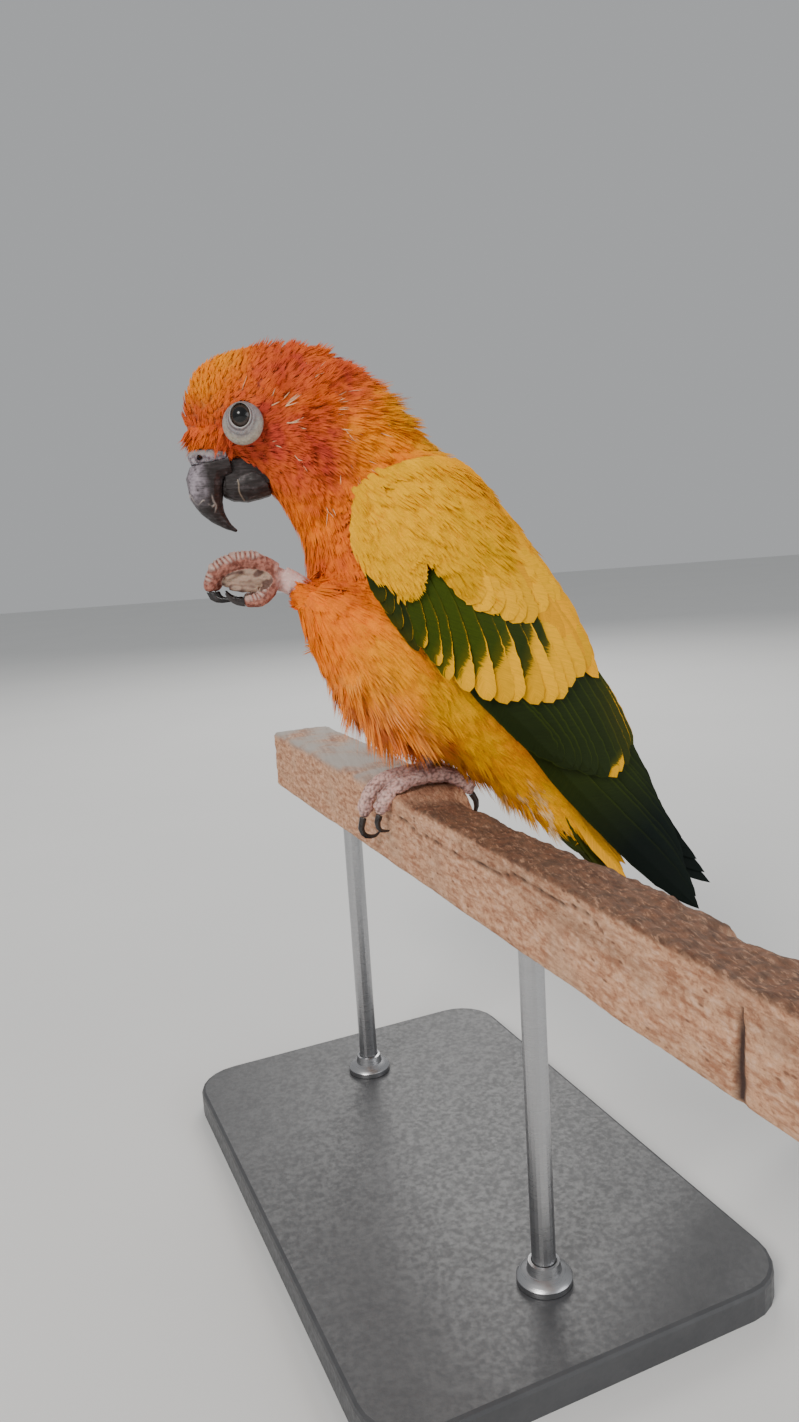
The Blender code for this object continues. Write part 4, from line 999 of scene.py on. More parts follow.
def off_bare_skin(places):
    """True away from the rings of bare skin round the eyes."""
    held = np.ones(len(places), bool)
    for side in SIDES:
        place, turn = eye_frame(side)
        local = (places - np.array(place)) @ np.array(turn) / MM
        across, down = local[:, 0] / RING_WIDE, (local[:, 1] + RING_DROP) / RING_HIGH
        held &= (np.hypot(across, down) > 0.92) | (local[:, 2] < 0.0)
    return held


def under_wing(u, v, y, margin):
    """True where a wing hides the body's side."""
    inside = (v > curve(ARM_LOW, u) + margin) & (v < curve(ARM_HIGH, u) - margin)
    return inside & (u > margin - 1.5) & (u < 80.0) & (np.abs(y) > 8.0)


def ruffle(places, scale, offset):
    """How far the feathers stand up, in clumps, from 0 to 1."""
    return bounded(0.5 + 1.4 * noise_of(places, scale, offset))


def show_coat(name, *about, slot="plumage", **settings):
    new_piece(name, coat_mesh(name, *about, **settings), made["coat"], slot)


def shares_of(name, parts, count):
    """Splits a coat of so many feathers in pieces: the name of each and its share of the feathers."""
    order = np.random.default_rng(SEED + len(name)).permutation(count)
    return [(f"{name}_{number}", chosen) for number, chosen in enumerate(np.array_split(order, parts), start=1)]


def make_head_coat(sizes):
    rng = np.random.default_rng(SEED + 1)
    surface = skin_surface()

    def keep(u, v, y):
        bill = (u < -24.0) & (v < -19.5) & (np.abs(y) < 5.5)
        return (u < -8.0) & ~bill

    places, normals = surface.scatter(1.25 * MM, rng, keep)
    held = off_bare_skin(places)
    places, normals = places[held], normals[held]
    u, v, y = body_coordinates(places)
    back = fade(u, -40.0, 28.0)
    lengths = (sizes.face_length + (6.8 * MM - sizes.face_length) * back) * rng.uniform(0.8, 1.2, len(u))
    widths = (1.5 + 1.3 * back) * MM * rng.uniform(0.8, 1.2, len(u))
    high = bounded((v + 2.0 + 0.3 * (u + 50.0)) / 11.0)
    lengths *= 1.0 + 0.18 * high
    loose = (0.12 + 0.95 * high) * ruffle(places, 190.0, 2.0) + 0.3 * high * (rng.random(len(u)) < 0.12)
    loose = np.clip(loose, 0.0, 1.2)
    for name, part in shares_of("head_coat", 2, len(u)):
        show_coat(name, places[part], normals[part], lengths[part], widths[part], rng, wander=0.12, lift=1.25,
                  loose=loose[part], barbs=7, barb_width=0.24)

    def by_bill(u, v, y):
        return (u < -28.0) & (v < -9.0) & (np.abs(y) < 9.0)

    places, normals = surface.scatter(0.8 * MM, rng, by_bill)
    x, _, z = perch_coordinates(places)
    held = (z > 92.8) & (z < 99.5) & (x < -43.5)
    places, normals = places[held], normals[held]
    count = len(places)
    way = np.array([-0.25, 0.0, -1.0]) + rng.normal(0.0, 0.22, (count, 3))
    show_coat("brow_coat", places, normals, rng.uniform(2.6, 4.1, count) * MM, rng.uniform(1.0, 1.5, count) * MM,
              rng, lift=2.1, loose=rng.uniform(0.5, 1.0, count), barbs=5, barb_width=0.28,
              way=laid(way, normals))
    make_sheaths(rng)


def make_sheaths(rng):
    """Pale sheaths of new feathers round the eye, on the ear and down the side of the neck."""
    spots = np.array([(u, v, side * 15.0) for u, v in SHEATH_PLACES for side in SIDES for _ in range(4)])
    spots[:, :2] += rng.normal(0.0, 1.4, (len(spots), 2))
    places, normals = skin_surface().nearest(body_point(spots[:, 0], spots[:, 1], spots[:, 2]))
    held = off_bare_skin(places)
    places, normals = places[held], normals[held]
    count = len(places)
    show_coat("new_feather_sheaths", places, normals, rng.uniform(2.8, 5.4, count) * MM,
              rng.uniform(0.20, 0.32, count) * MM, rng, wander=0.22, lift=1.9, loose=rng.uniform(0.1, 0.7, count),
              thickness=0.10, pale=rng.uniform(0.5, 0.95, count))


def make_body_coat():
    rng = np.random.default_rng(SEED + 2)
    surface = skin_surface()

    def keep(u, v, y):
        hidden = under_wing(u, v, y, 0.8)
        return (u >= -9.0) & (u < 101.0) & ~hidden

    places, normals = surface.scatter(1.75 * MM, rng, keep)
    u, v, y = body_coordinates(places)
    lengths = np.interp(u, [-9.0, 5.0, 30.0, 100.0], [6.8, 8.2, 10.0, 11.0]) * rng.uniform(0.8, 1.2, len(u))
    for share in (1.0, 0.7, 0.4):
        lengths[under_wing(u + lengths * share, v, y, 0.2)] *= 0.66
    lengths *= MM
    widths = np.interp(u, [-9.0, 10.0, 100.0], [2.9, 3.8, 4.2]) * MM * rng.uniform(0.8, 1.2, len(u))
    front = fade(-v, 24.0, 8.0) * fade(u, 18.0, 16.0)
    nape = fade(v, 16.0, 6.0) * fade(-u, -6.0, 8.0)
    clumps = ruffle(places, 150.0, 6.0)
    loose = bounded(0.10 * clumps + (front * 0.75 + nape * 0.8) * clumps + 0.2 * front)
    shoulder = fade(v, 1.0, 5.0) * (u > -8.0) * (u < np.interp(v, [0.0, 10.0, 24.0], [1.0, 3.0, 14.0]))
    loose = bounded(loose + 0.45 * shoulder * (np.abs(y) > 14.0))
    lengths = lengths * (1.0 + 0.55 * front * rng.random(len(u)))
    hanging = fade(u, 58.0, 12.0) * fade(-v, 17.0, 6.0)
    loose = bounded(loose + 0.7 * hanging * ruffle(places, 170.0, 9.0))
    lengths = lengths * (1.0 + 0.4 * hanging * rng.random(len(u)))
    vent = fade(u, 76.0, 10.0) * fade(-v, 16.0, 4.0) * (rng.random(len(u)) < 0.4)
    pale = bounded(front * rng.uniform(0.0, 0.18, len(u)) + 0.85 * vent)
    for name, part in shares_of("body_coat", 4, len(u)):
        show_coat(name, places[part], normals[part], lengths[part], widths[part], rng, wander=0.09, lift=1.35,
                  loose=loose[part], barbs=9, barb_width=0.20, pale=pale[part])
    make_shoulder_edge()
    make_thigh_cuff()


WING_FRONT = ((-3.0, -1.5), (6.0, -1.5), (10.0, 0.0), (17.0, 4.0), (21.5, 9.0), (23.6, 16.0), (27.0, 24.0))


def make_shoulder_edge():
    """Feathers of the neck and mantle that fall over the front edge of each wing."""
    rng = np.random.default_rng(SEED + 4)

    def keep(u, v, y):
        front = curve(WING_FRONT, v)
        return (v > -1.0) & (v < 23.0) & (u > front - 4.0) & (u < front + 0.4) & (np.abs(y) > 9.0)

    places, normals = skin_surface().scatter(1.2 * MM, rng, keep)
    count = len(places)
    show_coat("shoulder_edge_coat", places, normals, rng.uniform(5.5, 8.5, count) * MM,
              rng.uniform(2.2, 3.4, count) * MM, rng, wander=0.14, lift=3.4, loose=rng.uniform(0.0, 0.6, count),
              barbs=9, barb_width=0.20)


def make_thigh_cuff():
    """Feathers of the raised thigh that run out over the tarsus."""
    rng = np.random.default_rng(SEED + 3)
    ankle = at_perch(-29.5, -12.6, 58.0)

    def keep(u, v, y):
        return np.linalg.norm(body_point(u, v, y) - ankle, axis=1) < 6.0 * MM

    places, normals = skin_surface().scatter(1.0 * MM, rng, keep)
    count = len(places)
    way = np.array([-0.72, 0.0, 0.12]) + rng.normal(0.0, 0.16, (count, 3))
    show_coat("thigh_cuff", places, normals, rng.uniform(2.0, 3.4, count) * MM, rng.uniform(1.6, 2.4, count) * MM,
              rng, lift=1.2, loose=rng.uniform(0.1, 0.5, count), barbs=7, barb_width=0.22,
              way=laid(way, normals, 0.7))


# Feathers of the wings and the tail


def spread(points, share):
    """The (u, v) places at shares of the way along (share, u, v) points."""
    points = np.array(points)
    return curve(points[:, (0, 1)], share), curve(points[:, (0, 2)], share)


def step(value, low, high):
    """0 under low, 1 over high, and even between."""
    return bounded((value - low) / (high - low))


def kind_tones(kind, share, u, along, across):
    """Weights of red, gold, green and dark on a wing feather's points; share is its place in the row."""
    tip = step(along, 0.80, 0.92)
    fringe = step(np.abs(across), 0.86, 1.0)
    if kind == "primaries":
        green = step(u, 124.0, 96.0) * 0.5 + 0.35 * fringe * step(along, 0.95, 0.5)
        return 0.0, 1.0, 1.0, 1.0 - green
    if kind == "secondaries":
        upper = step(share, 0.62, 0.95) * (0.22 + 0.5 * fringe)
        spot = (share > 0.6) * (share < 0.77) * step(along, 0.90, 0.95)
        gold = np.clip(upper * step(along, 0.4, 0.7) + 0.60 * spot, 0.0, 0.9)
        return 0.0, 1.0, 1.0 - gold, bounded(1.0 - 1.8 * gold) * (0.68 - 0.45 * fringe)
    if kind == "greater_coverts":
        start = np.interp(share, [0.0, 0.15, 0.3, 0.5, 0.7, 1.0], [0.84, 0.76, 0.62, 0.60, 0.48, 0.24])
        start = start + 0.16 * np.sin(share * 40.0) * (share > 0.4) + 0.10 * across
        gold = bounded(step(along, start, start + 0.24) + 0.6 * fringe * step(along, 0.15, 0.5))
        return 0.0, 1.0, 0.10 + 0.9 * (1.0 - gold), (1.0 - gold) * (0.10 + 0.45 * step(share, 0.4, 0.6))
    if kind == "leading_coverts":
        gold = bounded(0.45 * fringe + 0.25 * tip)
        return 0.0, 1.0, 1.0 - gold, (1.0 - gold) * 0.60
    if kind == "scapulars":
        return 0.14 * (1.0 - tip), 0.82, 0.14 * (1.0 - tip), 0.0
    return 0.0, 1.0, 0.07 + 0.0 * (u + across), 0.0


def wing_patch(u, v):
    """Where on the wing's sleeve each feather's patch lies."""
    return stack(np.clip((u + 5.0) / 90.0, 0.02, 0.98), np.clip((v + 20.0) / 50.0, 0.02, 0.98))


def row_mesh(name, side, row, rng):
    """One row of wing feathers, each a cambered vane with a shaft and ragged edges."""
    stations = 30
    along = np.linspace(0.0, 1.0, stations) ** 0.8
    share = np.linspace(0.0, 1.0, row.count)
    root_u, root_v = spread(row.roots, share)
    tip_u, tip_v = spread(row.tips, share)
    tip_u = tip_u + rng.uniform(-1.0, 1.0, row.count)
    tip_v = tip_v + rng.uniform(-0.5, 0.5, row.count)
    if side > 0 and row.kind == "primaries":
        tip_u = tip_u + FAR_WING_EXTRA * (1.0 - share)
    run_u, run_v = tip_u - root_u, tip_v - root_v
    length = np.hypot(run_u, run_v)
    bow = rng.uniform(-0.012, 0.012, row.count) * length
    sway = bow[:, None] * np.sin(along * math.pi)[None, :]
    u = root_u[:, None] + run_u[:, None] * along - (run_v / length)[:, None] * sway
    v = root_v[:, None] + run_v[:, None] * along + (run_u / length)[:, None] * sway
    lift = rng.uniform(-0.08, 0.08, row.count)[:, None]
    heights = row.heights[0] + (row.heights[1] - row.heights[0]) * along[None, :] + lift
    centres = wing_place(side, u, v, heights)
    out = wing_place(side, u, v, heights + 0.5)
    ups = unit(out - centres)
    run = unit(np.gradient(centres, axis=1))
    sides = unit(np.cross(ups, run)) * side
    tilt = row.tilt + rng.uniform(-0.03, 0.03, row.count)
    sides = unit(sides - ups * tilt[:, None, None])
    ups = unit(np.cross(run, sides)) * side
    ups *= np.sign((ups * (out - centres)).sum(axis=2, keepdims=True))
    shape = np.interp(along, [0.0, 0.10, 0.3, 0.62, 0.82, 0.93, 0.975, 1.0],
                      [0.30, 0.66, 0.94, 1.0, 0.92, 0.5 + 0.4 * row.square, 0.62 * row.square + 0.1, 0.0])
    rough_edge = {"median_coverts": 0.06, "scapulars": 0.06, "greater_coverts": 0.045}.get(row.kind, 0.025)
    ragged = 1.0 + rng.normal(0.0, 1.0, (row.count, stations)) * rough_edge * step(along, 0.2, 0.9)
    halves = row.width / 2.0 * MM * shape[None, :] * ragged
    if row.kind == "greater_coverts":
        halves = halves * (1.0 - 0.55 * step(share, 0.42, 0.05)[:, None] * step(along, 0.5, 1.0)[None, :])
    if row.kind == "primaries":
        halves = halves * (1.0 - (0.3 if side > 0 else 0.2) * step(along, 0.78, 1.0)[None, :])
    thick = np.interp(along, [0.0, 0.3, 1.0], [0.34, 0.26, 0.14])[None, :] * MM * (row.thick / 0.5)
    ring = np.array(FLIGHT_VANE)
    across = np.append(np.tile(ring[:, 0], stations - 1), 0.0)[None, :]
    weights = kind_tones(row.kind, share[:, None], on_points(u, ring, 1), on_points(along, ring)[None, :], across)
    tones = stack(*weights)
    patch = wing_patch(root_u, root_v)
    return vane_mesh(name, centres, sides, ups, halves, thick, 0.10, FLIGHT_VANE, tones, along,
                     rng.random(row.count), patch)


# How far the yellow coverts reach, as (v, u), and how low, as (u, v)
COVERT_REACH = ((-12.5, 22.0), (-11.5, 23.5), (-10.0, 25.5), (-8.1, 27.0), (-6.0, 27.0), (-4.4, 25.7), (-3.0, 22.5),
                (0.4, 21.5), (1.0, 24.0), (2.0, 36.0), (4.5, 43.0), (8.0, 48.5), (14.0, 52.0), (19.0, 56.0),
                (24.0, 54.0))
COVERT_LOW = ((-2.0, -1.8), (3.0, -6.5), (7.5, -9.2), (9.5, -9.4), (16.2, -11.6), (20.0, -12.0), (24.0, -11.2),
              (30.0, -9.0))


def arm_height(u, v):
    """Height of the feathered arm over the wing's middle."""
    low, high = curve(ARM_LOW, u), curve(ARM_HIGH, u)
    part = np.clip((v - low) / (high - low) * 2.0 - 1.0, -1.0, 1.0)
    front = fade(u, -2.2, 3.0)
    return (curve(ARM_RISE, u) + 0.4) * (1.0 - part ** 2) ** 0.3 * front ** 0.5


def covert_mesh(name, side, rng, spacing, barbs, lift):
    """The small feathers of the wing, laid on its own curved surface."""
    grid_u, grid_v = np.meshgrid(np.arange(-2.0, 50.0, spacing), np.arange(-16.0, 25.0, spacing * 0.8), indexing="ij")
    u = grid_u.ravel() + rng.uniform(-0.5, 0.5, grid_u.size) * spacing
    v = grid_v.ravel() + rng.uniform(-0.5, 0.5, grid_u.size) * spacing * 0.8
    inside = (v > curve(ARM_LOW, u) - 0.3) & (v < curve(ARM_HIGH, u) + 0.3)
    edge_u = np.linspace(-1.4, 16.0, 70)
    low_u = np.linspace(-1.4, 6.0, 34)
    u = np.concatenate([u[inside], edge_u, low_u])
    v = np.concatenate([v[inside], curve(ARM_HIGH, edge_u), curve(ARM_LOW, low_u)])
    reach = np.interp(v, *zip(*COVERT_REACH))
    lengths = np.interp(u, [-3.0, 8.0, 40.0], [4.2, 9.0, 13.0]) * rng.uniform(0.85, 1.15, len(u))
    lengths = np.minimum(lengths, reach - u + rng.uniform(-1.0, 1.0, len(u)))
    drift = np.interp(v, [-12.0, 0.0, 20.0], [-0.18, -0.02, 0.04]) + rng.normal(0.0, 0.07, len(u))
    held = (lengths > 3.0) & (v + lengths * drift > curve(COVERT_LOW, u + lengths))
    u, v, lengths, drift = u[held], v[held], lengths[held], drift[held]
    count, stations = len(u), (5 if barbs > 1 else 7)
    along = np.linspace(0.0, 1.0, stations)
    path_u = u[:, None] + lengths[:, None] * along
    path_v = v[:, None] + (lengths * drift)[:, None] * along
    loose = rng.random(count) ** 4 * 1.3 * (barbs > 1)
    height = arm_height(path_u, path_v) + lift * (0.35 + 0.65 * along) + rng.uniform(-0.15, 0.15, count)[:, None]
    height = height + loose[:, None] * along ** 2
    height[:, 0] -= 0.5
    centres = wing_place(side, path_u, path_v, height)
    ups = unit(wing_place(side, path_u, path_v, height + 0.5) - centres)
    run = unit(np.gradient(centres, axis=1))
    sides = unit(np.cross(run, ups) + ups * rng.normal(0.0, 0.13, count)[:, None, None])
    ups = unit(np.cross(sides, run))
    widths = np.interp(u, [-3.0, 2.0, 10.0, 40.0], [2.0, 3.0, 4.2, 5.2]) * MM * rng.uniform(0.85, 1.15, count)
    chance = rng.random(count)
    back = step(v, 13.0, 22.0) * step(u, -6.0, 4.0)
    olive = bounded(step(u, 8.0, 22.0) * (0.02 + 0.20 * rng.random(count) ** 2))
    tones = stack(0.20 * back, 1.0 - 0.34 * back, olive + 0.08 * back + 0.05 * step(u, 8.0, 30.0), 0.0)
    patch = wing_patch(u, v)
    shape = np.array([0.6, 0.95, 1.0, 0.95, 0.8, 0.5, 0.0])
    if barbs > 1:
        centres, chance, sides, ups, widths, tones, patch = in_barbs(
            WING_FAN, barbs, rng, along, centres, chance, sides, ups, widths, tones, patch)
        widths = widths * 0.17
        shape = np.array([0.8, 1.0, 1.0, 0.8, 0.0])
    halves = widths[:, None] / 2.0 * shape[None, :]
    return vane_mesh(name, centres, sides, ups, halves, 0.07 * MM, 0.08, LOCK, tones, along, chance, patch)


def make_wing(side):
    node = "wing_" + side_name(side)
    rng = np.random.default_rng(SEED + 20 + side)
    for row in WING_ROWS:
        name = f"{node}_{row.kind}"
        replaced = (node,) if row is WING_ROWS[0] else ()
        new_piece(name, row_mesh(name, side, row, rng), made["vane"], "wing_feathers", *replaced)
    for ending, finish, spacing, barbs, lift in (("small_coverts", "vane", 2.6, 1, 0.9),
                                                 ("covert_barbs", "coat", 1.9, 9, 1.5)):
        name = f"{node}_{ending}"
        new_piece(name, covert_mesh(name, side, rng, spacing, barbs, lift), made[finish], "wing_feathers")


def tail_place(u, across, height):
    """World places at a height over the tail's middle, which is bowed across."""
    return body_point(u, curve(TAIL_MIDDLE, u) + height - 0.006 * across * across, across)


TAIL_ROOT = 104.0
TAIL_TIPS = (235.0, 226.0, 214.0, 200.0, 184.0, 166.0)
TAIL_WIDTH = 7.4
TAIL_TILT = 0.53
TAIL_COVERTS = 95.0


def make_tail():
    """The twelve long feathers, from the middle pair out."""
    rng = np.random.default_rng(SEED + 30)
    stations = 40
    along = np.linspace(0.0, 1.0, stations)
    centres, sides, ups, roots = [], [], [], []
    for side in SIDES:
        for i, tip_u in enumerate(TAIL_TIPS):
            start = side * (1.0 + 1.75 * i)
            u = TAIL_ROOT + (tip_u + rng.uniform(-0.8, 0.8) - TAIL_ROOT) * along
            across = start * 0.78 + (start * 0.62 - start * 0.78) * along
            spot = tail_place(u, across, np.full(stations, 0.1 * side))
            run = unit(np.gradient(spot, axis=0))
            up = np.broadcast_to(BACKWARD, run.shape)
            edge = unit(unit(np.cross(run, up)) + up * TAIL_TILT * side)
            centres.append(spot)
            sides.append(edge)
            ups.append(unit(np.cross(edge, run)))
            roots.append(start)
    centres, sides, ups = np.array(centres), np.array(sides), np.array(ups)
    count = len(centres)
    shape = np.interp(along, [0.0, 0.08, 0.5, 0.88, 0.96, 1.0], [0.5, 0.9, 1.0, 0.8, 0.5, 0.0])
    halves = TAIL_WIDTH / 2.0 * MM * shape[None, :] * (1.0 + rng.normal(0.0, 0.018, (count, stations)))
    thick = np.interp(along, [0.0, 1.0], [0.30, 0.14])[None, :] * MM
    length_share = on_points(along, FLIGHT_VANE)
    green = bounded(0.95 - 0.5 * length_share)
    dark = np.clip(0.25 + 0.75 * length_share, 0.0, 0.95)
    tones = stack(0.0, 0.10 * (1.0 - length_share), green, dark)
    tones = np.broadcast_to(tones[None], (count, len(green), 4))
    patch = stack(0.5 + np.array(roots) / 30.0, 0.5)
    mesh = vane_mesh("tail_feathers", centres, sides, ups, halves, thick, 0.05, FLIGHT_VANE, tones, along,
                     rng.random(count), patch)
    new_piece("tail_feathers", mesh, made["vane"], "tail_feathers", "tail")
    make_tail_coverts(rng)
    make_tail_root(rng)


def make_tail_coverts(rng):
    """The fans of feathers over and under the tail's base."""
    for label, count, tip_u, spread_y, heights, width in (("upper", 15, 131.0, 8.8, (8.2, 6.2), 6.0),
                                                          ("lower", 9, 121.0, 7.6, (-7.2, -3.4), 5.6)):
        share = np.linspace(-1.0, 1.0, count)
        along = np.linspace(0.0, 1.0, 16)
        end = tip_u - 5.0 * (1.0 - np.abs(share)) + rng.uniform(-2.0, 2.0, count)
        u = TAIL_COVERTS + (end - TAIL_COVERTS)[:, None] * along
        across = (spread_y * share)[:, None] * (0.85 + 0.15 * along)
        fall = 5.2 * (share ** 2)[:, None] * np.sign(heights[0]) * (1.0 - 0.25 * along)
        rise = heights[0] + (heights[1] - heights[0]) * along - fall + rng.uniform(-0.2, 0.2, count)[:, None]
        centres = tail_place(u, across, rise)
        run = unit(np.gradient(centres, axis=1))
        out = BACKWARD * np.sign(heights[0])
        lean = np.array([0.0, 1.0, 0.0])
        up = unit(out + lean * (share * 1.2)[:, None, None])
        sides = unit(np.cross(run, up))
        ups = unit(np.cross(sides, run))
        shape = np.interp(along, [0.0, 0.2, 0.7, 0.9, 1.0], [0.5, 0.95, 1.0, 0.6, 0.0])
        halves = width / 2.0 * MM * shape[None, :] * (1.0 + rng.normal(0.0, 0.05, (count, 16)))
        olive = step(along, 0.05, 0.5) * (0.9 if label == "lower" else 0.08)
        tones = on_points(stack(0.12, 0.85, olive, 0.3 * olive), FLIGHT_VANE)[None]
        name = f"tail_{label}_coverts"
        mesh = vane_mesh(name, centres, sides, ups, halves, 0.2 * MM, 0.1, FLIGHT_VANE, tones, along,
                         rng.random(count), stack(0.5 + share * 0.4, 0.2))
        new_piece(name, mesh, made["vane"], "tail_feathers")


def make_tail_root(rng):
    """Loose feathers on the rump and the vent, where the body runs into the tail."""

    def keep(u, v, y):
        return (u > 90.0) & (u < np.where(v < -17.0, 97.0, 110.0))

    places, normals = skin_surface().scatter(2.0 * MM, rng, keep)
    u, _, _ = body_coordinates(places)
    lengths = np.interp(u, [90.0, 110.0], [11.0, 12.0]) * MM * rng.uniform(0.8, 1.2, len(u))
    widths = np.interp(u, [90.0, 110.0], [3.8, 4.6]) * MM * rng.uniform(0.8, 1.2, len(u))

    def covert_tones(u, v, y):
        green = np.clip((u - 93.0) / 20.0, 0.0, 0.6) * (v < -17.0)
        return stack(0.12, 0.9, green, 0.0)

    show_coat("tail_root_barbs", places, normals, lengths, widths, rng, wander=0.08, lift=1.7,
              loose=rng.uniform(0.0, 0.3, len(u)) ** 2, tones=covert_tones, barbs=9, barb_width=0.19, roll=0.06,
              slot="tail_feathers")


# Eyes, lids, bill, feet and claws


def eye_frame(side):
    """The middle of an eye, and the turn whose z looks out of it."""
    place = on_body(EYE_PLACE[0], EYE_PLACE[1], side * EYE_PLACE[2])
    outward = Vector((-math.sin(EYE_TURN), side * math.cos(EYE_TURN), 0.10)).normalized()
    return place, outward.to_track_quat("Z", "Y").to_matrix()


def make_eye(side):
    label = side_name(side)
    place, turn = eye_frame(side)
    bm = bmesh.new()
    bmesh.ops.create_uvsphere(bm, u_segments=64, v_segments=48, radius=EYE_RADIUS * MM)
    for vert in bm.verts:
        away = math.hypot(vert.co.x, vert.co.y) / (EYE_RADIUS * MM)
        if vert.co.z > 0.0 and away < CORNEA_SHARE:
            vert.co.z += CORNEA_BULGE * MM * (1.0 - (away / CORNEA_SHARE) ** 2) ** 2
    rings = [(math.hypot(vert.co.x, vert.co.y) / (EYE_RADIUS * MM) + (10.0 if vert.co.z < 0.0 else 0.0),
              math.atan2(vert.co.y, vert.co.x) / (2.0 * math.pi) + 0.5) for vert in bm.verts]
    bmesh.ops.rotate(bm, verts=bm.verts, matrix=turn)
    bmesh.ops.translate(bm, verts=bm.verts, vec=place)
    mesh = bpy.data.meshes.new("eye_globe_" + label)
    write_out(bm, mesh)
    put_attribute(mesh, "iris", np.array([(away, round_, 0.0, 1.0) for away, round_ in rings]))
    new_piece("eye_globe_" + label, mesh, made["eye"], "eye", "eye_" + label)
    make_ring(label, place, turn)


RING_PROFILE = ((0.0, 3.0), (0.0, 3.42), (0.05, 3.60), (0.13, 3.58), (0.22, 3.36), (0.34, 3.08), (0.46, 2.80),
                (0.6, 2.48), (0.75, 2.16), (0.88, 1.82), (0.98, 1.44), (1.06, 0.9), (1.0, 0.6), (0.35, 0.6))


def make_ring(label, place, turn):
    """The ring of bare skin, wider under the eye, with folds that run round the lids."""
    around = 160
    shares = np.concatenate([np.linspace(a[0], b[0], 5)[:-1] for a, b in zip(RING_PROFILE, RING_PROFILE[1:])])
    heights = np.concatenate([np.linspace(a[1], b[1], 5)[:-1] for a, b in zip(RING_PROFILE, RING_PROFILE[1:])])
    theta = 2.0 * math.pi * np.arange(around) / around
    inner = stack(2.42 * np.cos(theta), 2.86 * np.sin(theta) - 0.05)
    outer = stack(RING_WIDE * np.cos(theta), RING_HIGH * np.sin(theta) - RING_DROP)
    spots = inner[None] + (outer - inner)[None] * shares[:, None, None]
    spots = np.concatenate([spots, np.broadcast_to(heights[:, None, None], (len(shares), around, 1))], axis=-1)
    flat = spots.reshape(-1, 3)
    share = np.repeat(shares, around)
    wander = noise_of(flat, 0.55, 3.0) * 1.4 + noise_of(flat, 1.6, 8.0) * 0.5
    top = bounded((np.repeat(heights, around) - 1.0) / 0.6)
    lids = bounded(1.0 - share / 0.62) * bounded(share / 0.08)
    fold = np.sin(share * 21.0 + 0.6 + wander * 1.3) * lids
    granule = noise_of(flat, 4.5, 1.0)
    lumps = noise_of(flat, 1.1, 4.0) * 0.16 + noise_of(flat, 2.4, 6.0) * 0.09
    flat[:, 2] += top * (fold * 0.15 + (granule * 0.07 + lumps) * bounded(share * 3.0 - 0.3))
    count = len(shares)
    quads = []
    for k in range(count):
        for i in range(around):
            j = (i + 1) % around
            after = (k + 1) % count
            quads.append((k * around + i, k * around + j, after * around + j, after * around + i))
    mesh = bpy.data.meshes.new("eye_ring_" + label)
    turned = flat * MM @ np.array(turn).T + np.array(place)
    mesh.from_pydata([tuple(p) for p in turned], [], quads)
    bm = bmesh.new()
    bm.from_mesh(mesh)
    bmesh.ops.recalc_face_normals(bm, faces=bm.faces)
    write_out(bm, mesh)
    # The crease weight paints shade in the troughs of the folds and on the ring's upper side, with random darker
    # patches on its outer part.
    crease = bounded(-fold * 1.9) + 0.35 * bounded(-noise_of(flat, 1.3, 12.0) * 2.5) * (share > 0.3)
    crease = bounded(crease + 0.25 * bounded(flat[:, 1] / 3.0) * (share > 0.15))
    rim = bounded(1.0 - np.abs(share - 0.05) / 0.05)
    below = bounded(-flat[:, 1] / 5.0) * fade(share, 0.45, 0.3)
    put_attribute(mesh, "folds", stack(crease, rim, below, 0.0))
    new_piece("eye_ring_" + label, mesh, made["bare"], "bare_skin", "eyelids_" + label)


def noise_of(places, scale, offset=0.0):
    """Smooth noise at each place; another offset gives other noise."""
    shift = Vector((offset, offset * 1.7, -offset))
    return np.array([noise.noise(Vector(place) * scale + shift) for place in places])


